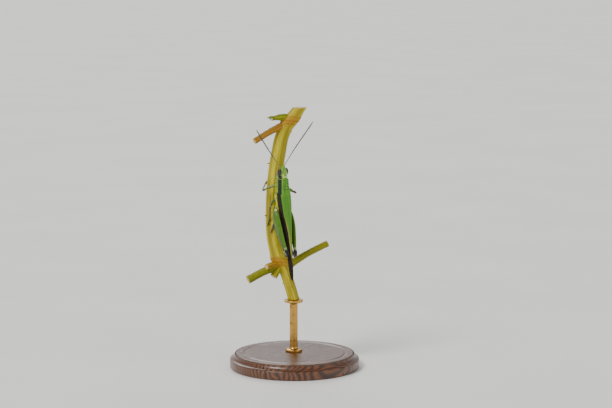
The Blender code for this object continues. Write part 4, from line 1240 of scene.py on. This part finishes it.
def makeTrunk():
    makeSaddle()
    flanks = joined(gridShell(*flankGrid()), *[hip(side, which) for side in (-1, 1)
                                               for which in ("middle", "hind")])
    makePiece("flankPlates", flanks, flankHorn, "underside", "thorax")
    makePiece("abdomenRings", joined(gridShell(*abdomenGrid()), tailEnd()), abdomenHorn, "abdomen",
              "abdomen")


# Points over one wing's arch: a rounded shoulder from the mid line, then straight down the side.
def halfArch(halfWidth, top, low, part):
    shoulder = np.minimum(1.1, 0.55 * (low - top))
    turn = held(part / 0.7) * math.pi / 2
    drop = held((part - 0.7) / 0.3)
    x = halfWidth * np.sin(turn) ** 0.8 * (1 - 0.03 * drop)
    return x, top + shoulder * (1 - np.cos(turn) ** 0.8) + (low - top - shoulder) * drop


# parts of the arch that lie evenly along its outline
def evenParts(count):
    part = np.linspace(0, 1, 3001)
    x, y = halfArch(1.7, -1.6, 1.15, part)
    total = summed(np.hypot(np.diff(x), np.diff(y)))
    return np.interp(np.linspace(0, total[-1], count), total, part)


# Long veins: (station, share of the way from the back's mid line to the lower edge) knots, then
# each vein's height and width.
veins = [
    ([(9, 0.07), (20, 0.05), (27, 0.02)], 0.035, 0.045),
    ([(9, 0.17), (18, 0.12), (25, 0.06), (31, 0.02)], 0.045, 0.05),
    ([(9, 0.27), (17, 0.22), (24, 0.16), (31, 0.09)], 0.035, 0.045),
    ([(9, 0.385), (14, 0.36), (20, 0.30), (27, 0.21), (33, 0.12)], 0.07, 0.05),    # the fold
    ([(9, 0.45), (14, 0.44), (20, 0.40), (27, 0.36), (35, 0.32)], 0.05, 0.045),    # cubital
    ([(9, 0.52), (14, 0.53), (22, 0.52), (29, 0.50), (35, 0.46)], 0.06, 0.05),     # medial
    ([(9, 0.62), (14, 0.63), (22, 0.64), (29, 0.64), (35, 0.6)], 0.08, 0.055),     # radial
    ([(9, 0.62), (17, 0.64), (22, 0.72), (29, 0.76), (35, 0.74)], 0.05, 0.045),    # its fork
    ([(9, 0.76), (14, 0.80), (22, 0.86), (29, 0.90), (35, 0.9)], 0.05, 0.05),
]


# the highest of the veins' bells at each point, measured across the arch
def veinHeight(share, station, archLength):
    height = 0
    for line, rise, width in veins:
        away = (share - valueOn(line, station[:, 0])) * archLength
        height = np.maximum(height, rise * bell(away, width))
    return height


# One folded wing: the outer arch carries the veins, the inner arch closes the shell.
def wingGrid(side):
    first, last = wingShape["knots"][0][0], wingShape["knots"][-1][0]
    bend = 1 - np.cos(np.linspace(0, math.pi / 2, 9)[1:])
    rows = np.concatenate([0.004 * bend, np.linspace(0.006, 0.985, wingShape["rows"]),
                           1 - 0.014 * (1 - np.sin(np.linspace(0.15, math.pi / 2, 8)))])[:, None]
    shape = valueOn(wingShape["knots"], first + (last - first) * rows[:, 0])
    halfWidth, top, low, filled = [shape[:, k:k + 1] for k in range(4)]
    filled = held(filled)
    outer, inner = wingShape["outer"], wingShape["inner"]
    outX, outY = halfArch(halfWidth, top, low, evenParts(outer))
    innerWidth, innerTop = wingInside(halfWidth, top, low)
    inPart = evenParts(inner)
    inX, inY = halfArch(innerWidth, innerTop, low, inPart)
    inX = inX + fadeIn(inPart, 0.72, 1.0) * (1 - filled) * (halfWidth - innerWidth - 0.16) * 0.95
    inY = inY * (1 - filled) + low * filled
    x = np.concatenate([outX, inX[:, ::-1]], 1)
    y = np.concatenate([outY, inY[:, ::-1]], 1)
    lapped = bell(x, 0.16) * (np.arange(outer + inner) < wingShape["lap"])    # left under right
    x = np.maximum(x, wingShape["midGap"]) - (0.16 * lapped if side < 0 else 0)
    y = y + side * 0.05 * lapped
    front = hindMargin(x, y) + 0.02
    station = front + rows * (wingShape["tip"] - front)
    points = placed(side * x, y, -station)
    share = np.concatenate([np.linspace(0, 1, outer), np.linspace(1, 0, inner)])
    outside = np.concatenate([[0.4, 0.4], np.ones(outer - 2), np.zeros(inner)])
    vein = veinHeight(share, station, halfWidth * 1.1 + (low - top)) * outside
    rim = np.minimum(fadeIn(rows, 0.0, 0.01), fadeIn(1 - rows, 0.0, 0.02))
    field = valueOn(wingShape["green" if side > 0 else "greenLeft"], station)[..., 0] - np.abs(x)
    return points + gridNormals(points) * (vein * rim)[..., None], {
        "backField": fadeIn(field, -0.05, 0.05) * outside, "vein": held(vein * 18),
        "pale": bell(field, 0.09) * outside * fadeIn(station, 12.0, 20.0), "along": station / 36.0,
        "shareOut": share, "lowerEdge": fadeIn(share, 0.90, 0.97) * outside}


# Leathery wing: a net of cross veins, cells of a stretched brick pattern over the wing's own
# two measures, on a green back field and dark sides.
def wingFinish():
    material, tree, shader = newMaterial("foreWing", 0.50, specular=0.3)
    cloud = noiseOf(tree, objectPlace(tree, (1, 1, 0.35)), 620.0, 4.0)
    fine = noiseOf(tree, objectPlace(tree), 5200.0)
    along, share = markOf(tree, "along"), markOf(tree, "shareOut")
    spot = addNode(tree, "CombineXYZ", {"X": times(tree, along, 95.0),
                                        "Y": times(tree, share, 26.0)}).outputs[0]
    wobble = addNode(tree, "TexNoise", {"Vector": spot, "Scale": 0.7, "Detail": 2.0})
    shaken = blended(tree, 0.9, spot, wobble.outputs["Color"], "ADD")
    net = eased(tree, cellsOf(tree, shaken, 1.0, 0.55, feature="DISTANCE_TO_EDGE"),
                0.02, 0.11, 1.0, 0.0)
    ramp = rampOf(tree, along, [(0.30, "569c20"), (0.52, "589626"), (0.68, "86982a"),
                                (0.86, "94902c")])
    green = blended(tree, eased(tree, cloud, 0.3, 0.72, 0.0, 0.55), ramp, "3b7016")
    dark = toned(tree, cloud, 0.35, 0.7, "080602", "181005")
    colour = layered(
        tree, layered(tree, dark, (net, 0.3, "40310f"), ("vein", 0.4, "40310f")),
        ("backField", 1, layered(tree, green, (net, 0.34, "86b644"), ("vein", 0.45, "90c04c"))),
        ("pale", 0.85, "c8c058"), ("lowerEdge", 0.4, "6e5f2a"))
    finish(tree, shader, colour, eased(tree, fine, 0.2, 0.8, 0.40, 0.58),
           plus(tree, net, times(tree, fine, 0.3)), 0.00003)
    return material


def makeWings():
    material = wingFinish()
    for side, name in bothSides:
        makePiece("foreWing" + name, gridShell(*wingGrid(side)), material, "forewing",
                  "forewing_" + name, sharp=70)


makeTrunk()
print("stage: trunk")
makeWings()
print("stage: wings")


# The legs: two pairs of short walking legs, and the long folded leaping pair.

shortLegs = [      # pair, side, knee, and the ankle's and toes' station and angle round the stem
    ("fore", "L", (-4.45, 4.55, 7.30), (6.40, -128.0), (5.20, -176.0)),
    ("fore", "R", (4.90, 0.75, 9.00), (7.80, 70.0), (7.20, 116.0)),
    ("middle", "L", (-2.95, 3.85, 13.10), (17.00, -58.0), (18.80, -76.0)),
    ("middle", "R", (3.80, 3.30, 13.20), (15.60, 46.0), (17.40, 78.0)),
]
hindLegs = [       # side, knee, how far the thigh bows outwards, then ankle and toes as above
    ("L", (-1.75, -1.85, 27.00), 0.74, (18.60, -30.0), (21.00, -50.0)),
    ("R", (1.70, -1.20, 27.70), 0.95, (19.40, 34.0), (21.60, 52.0)),
]
legShape = {
    "clearance": 0.32, "lift": 0.22, "hindLift": 0.35, "thighLength": 14.4, "ribPitch": 0.60,
    "shortThigh": [
        (0.0, 0.36, 0.36), (0.15, 0.40, 0.42), (0.35, 0.35, 0.43), (0.7, 0.27, 0.33),
        (0.88, 0.23, 0.27), (0.95, 0.28, 0.32), (1.0, 0.24, 0.26)],
    "shortShin": [(0.0, 0.25), (0.1, 0.20), (0.5, 0.18), (0.9, 0.20), (1.0, 0.24)],
    "thigh": [(0.0, 0.40, 0.44), (0.07, 0.52, 0.90), (0.16, 0.70, 1.40), (0.30, 0.78, 1.66),
              (0.45, 0.76, 1.58), (0.62, 0.64, 1.26), (0.78, 0.50, 0.86), (0.88, 0.44, 0.66),
              (0.95, 0.54, 0.76), (1.0, 0.46, 0.62)],
    "shin": [(0.0, 0.30, 0.28), (0.06, 0.31, 0.31), (0.14, 0.22, 0.22), (0.5, 0.20, 0.20),
             (0.9, 0.23, 0.22), (1.0, 0.30, 0.28)],
    "foot": [(0.0, 0.22, 0.20), (0.12, 0.27, 0.25), (0.40, 0.24, 0.22), (0.44, 0.15, 0.15),
             (0.50, 0.24, 0.22), (0.58, 0.23, 0.21), (0.62, 0.14, 0.14), (0.70, 0.17, 0.16),
             (0.92, 0.23, 0.20), (1.0, 0.18, 0.16)],
}
spurWays = np.array([[0.7, 0.1, 0], [-0.7, 0.1, 0], [0.4, 0.5, 0], [-0.4, 0.5, 0]])
spurRoots = np.array([[1, 0, 0], [-1, 0, 0], [0.7, 0.7, 0], [-0.7, 0.7, 0]]) * 0.2


# the hip's and the knee's places; a knee gives x, y and station
def legEnds(which, name, knee):
    x, y, station = hips[which][0]
    hip = np.array([x if name == "R" else -x, y, -station])
    return hip, np.array([knee[0], knee[1], -knee[2]])


# two hooked claws and the soft pad between them, at the end of a foot
def clawsAt(tip, way, outward):
    across = unit(np.cross(way, outward))
    parts = []
    for sign in (-1, 1):
        spread = unit(way + 0.75 * sign * across + 0.15 * outward)
        route = [tip - way * 0.05, tip + spread * 0.28 + outward * 0.08,
                 tip + spread * 0.50 - outward * 0.10, tip + spread * 0.52 - outward * 0.26]
        parts.append(limb(route, [(0, 0.075), (0.5, 0.055), (1, 0.012)], 12, 18,
                          marks=lambda share, turn: {"claw": 1}))
    pad = limb([tip, tip + way * 0.26 - outward * 0.04],
               [(0, 0.11, 0.07), (0.6, 0.15, 0.07), (1, 0.10, 0.05)], 16, 12, across)
    return joined(*parts, pad)


# a foot: three joints carried along the stem's surface, soft pads under the first, then claws
def footShell(ankle, toes, start):
    ankle, toes = np.array(ankle), np.array(toes)
    route = np.array([onStem(*(ankle + (toes - ankle) * share),
                             legShape["clearance"] - 0.02 + 0.12 * (1 - share))
                      for share in np.linspace(start, 1.0, 7)])
    outward = unit(route[-1] - onStem(*toes, 0.0))
    way = unit(route[-1] - route[-2])

    def pads(share, turn):
        return 0.035 * np.sin(turn * 2 + 1) * bell(share - 0.25, 0.2) * np.sin(share * 60)

    def marks(share, turn):
        return {"joint": held(sum(bell(share - at, 0.03) for at in (0.44, 0.62, 0.0)))}

    foot = limb(route, legShape["foot"], 26, 84, np.cross(way, outward), relief=pads, marks=marks)
    return joined(foot, clawsAt(route[-1] + way * 0.05, way, outward))


# a row of spines down a shin: roots on the path pushed out at an angle, pointing out and on
def shinSpines(path, first, last, count, outward, length, radius, drift):
    centre, along = onPath(path, np.linspace(first, last, count))
    out = unit(outward - along * np.sum(along * outward, -1, keepdims=True))
    return spikes(centre + out * 0.13, out + along * drift, length, radius, 8, along * 0.12)


# short hairs scattered over a path: seeded roots round it, leaning towards its far end
def hairs(path, sizes, count, length):
    share, turn = rng.uniform(0.03, 0.97, count), rng.uniform(0, fullTurn, count)
    centre, along = onPath(path, share)
    first = unit(np.cross(along, [0.31, 0.62, 0.72]))
    out = first * np.cos(turn)[:, None] + np.cross(along, first) * np.sin(turn)[:, None]
    radius = valueOn(sizes, share).mean(-1)[:, None] * 0.93
    return spikes(centre + out * radius, out + along * 0.9, length * rng.uniform(0.6, 1.2, count),
                  0.014, 4, along * 0.25, "hair")


# A walking leg: thigh from hip to knee with a small joint over its root, then a shin that
# folds back from the knee to the stem, spined beneath, and the foot.
def makeShortLeg(which, name, knee, ankle, toes, skin, footSkin):
    hip, kneeAt = legEnds(which, name, knee)
    ankleAt = onStem(*ankle, legShape["clearance"] + legShape["lift"])
    reach = unit(kneeAt - hip)
    end = kneeAt - reach * 0.10
    thighPath = pointsOn([hip, hip + (end - hip) * 0.4 + [0, 0.28, 0.10], end], 60)

    def keels(share, turn):
        return (0.025 * bell(np.sin(turn), 0.18) * between(share, 0.15, 0.85, 0.1)
                + 0.03 * bell(share - 0.955, 0.03) - 0.02 * bell(share - 0.90, 0.02))

    def kneeMarks(share, turn):
        return {"knee": fadeIn(share, 0.86, 0.93), "ring": bell(share - 0.80, 0.05)}

    thigh = limb(thighPath, legShape["shortThigh"], 36, relief=keels, marks=kneeMarks)
    root = limb([hip - reach * 0.1, hip + reach * 0.42],
                [(0, 0.36, 0.36), (0.6, 0.40, 0.42), (1, 0.34, 0.36)], 28, 16)
    thighHairs = hairs(thighPath, legShape["shortThigh"], 90, 0.30)
    makePiece(which + "Thigh" + name, joined(thigh, root, thighHairs), skin, "walking_leg",
              which + "_femur_" + name)
    shinWay = unit(ankleAt - kneeAt)
    fold = max(0.0, float(-reach @ shinWay))
    bendPoint = kneeAt + shinWay * 0.55 + reach * (0.62 * fold)
    shinPath = pointsOn([
        kneeAt + shinWay * 0.10 + reach * (0.18 * fold), bendPoint,
        bendPoint + (ankleAt - bendPoint) * 0.45 + reach * (0.16 * fold), ankleAt], 70)
    under = -unit(reach + shinWay * float(-reach @ shinWay) + 1e-6)
    across = unit(np.cross(shinWay, under))
    spines = [shinSpines(shinPath, 0.25, 0.95, 7, under + sign * 0.6 * across, 0.26, 0.04, 0.9)
              for sign in (-1, 1)]
    shin = limb(shinPath, legShape["shortShin"], 28,
                marks=lambda share, turn: {"knee": 1 - fadeIn(share, 0.03, 0.09)})
    shinHairs = hairs(shinPath, legShape["shortShin"], 80, 0.26)
    makePiece(which + "Shin" + name, joined(shin, *spines, shinHairs), skin, "walking_leg",
              which + "_tibia_" + name)
    makePiece(which + "Foot" + name, footShell(ankle, toes, 0.02), footSkin, "foot",
              which + "_tarsus_" + name)


# Thigh of a leaping leg: a lens-shaped section with keels above and below; between two fine
# ridges its outer face carries slanting ribs that meet in a row of chevrons.
def makeHindLeg(name, knee, bow, ankle, toes, skin, shinSkin, footSkin):
    side = 1.0 if name == "R" else -1.0
    hip, kneeAt = legEnds("hind", name, knee)
    along = unit(kneeAt - hip)
    under = unit(np.cross([1.0, 0, 0], along))
    under = under if under[1] > 0 else -under
    outward = np.array([side, 0.0, 0.0])
    upSign = 1.0 if np.cross(along, [1.0, 0, 0]) @ under < 0 else -1.0
    bowed = [hip + (kneeAt - hip) * part + outward * (push * bow) + under * sink
             for part, push, sink in ((0.12, 0.75, -0.10), (0.35, 1.0, -0.05), (0.65, 0.7, 0.05),
                                      (0.9, 0.15, 0.0))]

    # height on the section from -1 to 1, the outer face, the ribbed length, and the ribs
    def measures(share, turn):
        up = np.sin(turn) * upSign
        phase = (share * legShape["thighLength"] / legShape["ribPitch"]
                 - 1.25 * np.abs(up + 0.02))
        wave = (0.5 + 0.5 * np.cos(fullTurn * phase)) ** 1.6
        return (up, fadeIn(np.cos(turn) * side, 0.05, 0.35),
                fadeIn(share, 0.03, 0.14) * (1 - fadeIn(share, 0.80, 0.88)),
                wave * (1 - fadeIn(np.abs(up), 0.50, 0.60)))

    def relief(share, turn):
        up, outer, face, ribs = measures(share, turn)
        ridges = bell(np.abs(up) - 0.60, 0.035) + 0.6 * bell(up + 0.02, 0.03)
        crescent = bell(share - 0.935 - 0.02 * up, 0.014) * (1 - fadeIn(up, 0.1, 0.8))
        lobes = fadeIn(share, 0.955, 0.985) * bell(up + 0.45, 0.4)
        return (face * outer * (0.05 * ribs + 0.055 * ridges - 0.035)
                + face * (0.10 * bell(np.abs(up) - 1.0, 0.010) + 0.04 * bell(np.abs(up) - 0.93, 0.02))
                - 0.07 * crescent + 0.08 * lobes - 0.05 * bell(share - 0.885, 0.014))

    def marks(share, turn):
        up, outer, face, ribs = measures(share, turn)
        keels = bell(np.abs(np.abs(up) - 0.60), 0.04) + bell(np.abs(up) - 1.0, 0.012)
        return {
            "rib": held(ribs * outer * face), "upper": fadeIn(up, 0.50, 0.72),
            "under": 1 - fadeIn(up, -0.85, -0.55), "keel": face * held(keels),
            "knee": fadeIn(share, 0.895, 0.925), "paleRing": bell(share - 0.872, 0.014),
            "spot": bell(share - 0.985, 0.022) * bell(up + 0.25, 0.45),
            "cream": bell(share - 0.062, 0.022) * fadeIn(up, 0.1, 0.5)}

    thigh = limb(pointsOn([hip, *bowed, kneeAt], 330), legShape["thigh"], 132, relief=relief,
                 marks=marks, pinch=1.12)
    hinge = limb([hip - along * 0.1, hip + along * 0.9],
                 [(0, 0.42, 0.42), (0.5, 0.48, 0.60), (1, 0.5, 0.72)], 36, 20)
    makePiece("leapingThigh" + name, joined(thigh, hinge), skin, "hind_femur", "hind_femur_" + name)

    ankleAt = onStem(*ankle, legShape["clearance"] + legShape["hindLift"])
    shinPath = pointsOn([
        kneeAt + under * 0.30 + along * 0.18, kneeAt + under * 0.78 + along * 0.30,
        kneeAt + under * 1.12 - along * 0.25, kneeAt + under * 1.26 - along * 1.2,
        kneeAt + (hip - kneeAt) * 0.32 + under * 1.75 + outward * 0.1,
        ankleAt + (kneeAt - ankleAt) * 0.28 + under * 0.45, ankleAt], 220)
    shin = limb(shinPath, legShape["shin"], 30, marks=lambda share, turn: {
        "paleRing": between(share, 0.135, 0.20, 0.02), "knee": 1 - fadeIn(share, 0.10, 0.13)})
    inner = np.cross(along, under)
    spines = [shinSpines(shinPath, 0.30, 0.95, count, under + sign * 0.85 * inner, 0.42, 0.055, 0.85)
              for sign, count in ((-1, 12), (1, 11))]
    spurs = spikes(ankleAt + spurRoots, unit(shinPath[-1] - shinPath[-6]) + spurWays, 0.45, 0.06, 8)
    shinHairs = hairs(shinPath, legShape["shin"], 150, 0.30)
    makePiece("leapingShin" + name, joined(shin, *spines, spurs, shinHairs), shinSkin, "hind_tibia",
              "hind_tibia_" + name)
    makePiece("leapingFoot" + name, footShell(ankle, toes, 0.05), footSkin, "foot",
              "hind_tarsus_" + name)


# a rule for layered: small dark blotches at the middles of cells
def blotches(tree):
    return eased(tree, cellsOf(tree, objectPlace(tree), 1500.0), 0.1, 0.3, 0.35, 0.0)


def walkingHorn(name, light, dark):
    return hornMaterial(
        name, 0.42, 0.2, (900.0, 4.0, 1), clouds(light, dark, 0.32), (blotches, 1, "2f2b12"),
        ("knee", 0.75, "3d3515"), ("ring", 0.5, "b5b066"), ("spine", 1, "1a140c"),
        ("hair", 1, "8d8358"), pits=12000.0, depth=0.00001)


walkingHorns = {"fore": walkingHorn("foreLegHorn", "78862a", "58661a"),
                "middle": walkingHorn("middleLegHorn", "566a14", "344409")}
footHorn = hornMaterial(
    "footHorn", 0.42, 0.2, (1100.0, 4.0, 1), clouds("3c3118", "5d5128", 0.32),
    ("joint", 0.7, "1a140a"), ("claw", 1, ("share", 0.3, 0.9, "6b4a20", "120c06")),
    mottle=0.4, pits=12000.0, gloss=0.38, depth=0.00001)
thighHorn = hornMaterial(
    "thighHorn", 0.42, 0.08, (600.0, 4.0, 0.4), clouds("285200", "447202"), ("upper", 0.7, "507a04"),
    ("under", 0.7, "2c5206"), ("rib", 0.32, "86a41c"), ("keel", 0.3, "8fac28"),
    ("paleRing", 0.7, "b8bd7a"), ("cream", 1, "f0e9a8"), ("knee", 1, clouds("0e0c08", "221c12")),
    ("spot", 0.85, "a3a396"), mottle=0.45, gloss=0.36, specular=0.35)
shinHorn = hornMaterial(
    "shinHorn", 0.38, 0.25, (900.0, 4.0, 1), clouds("14110e", "2b2620", 0.32),
    ("paleRing", 0.8, "a9a37c"), ("spine", 1, ("tip", 0.45, 0.85, "cfc9a4", "0d0a07")),
    ("hair", 1, "6e6650"), mottle=0.4, pits=12000.0, gloss=0.36, depth=0.00001)


def makeLegs():
    for leg in shortLegs:
        makeShortLeg(*leg, walkingHorns[leg[0]], footHorn)
    for leg in hindLegs:
        makeHindLeg(*leg, thighHorn, shinHorn, footHorn)


makeLegs()
print("stage: legs")
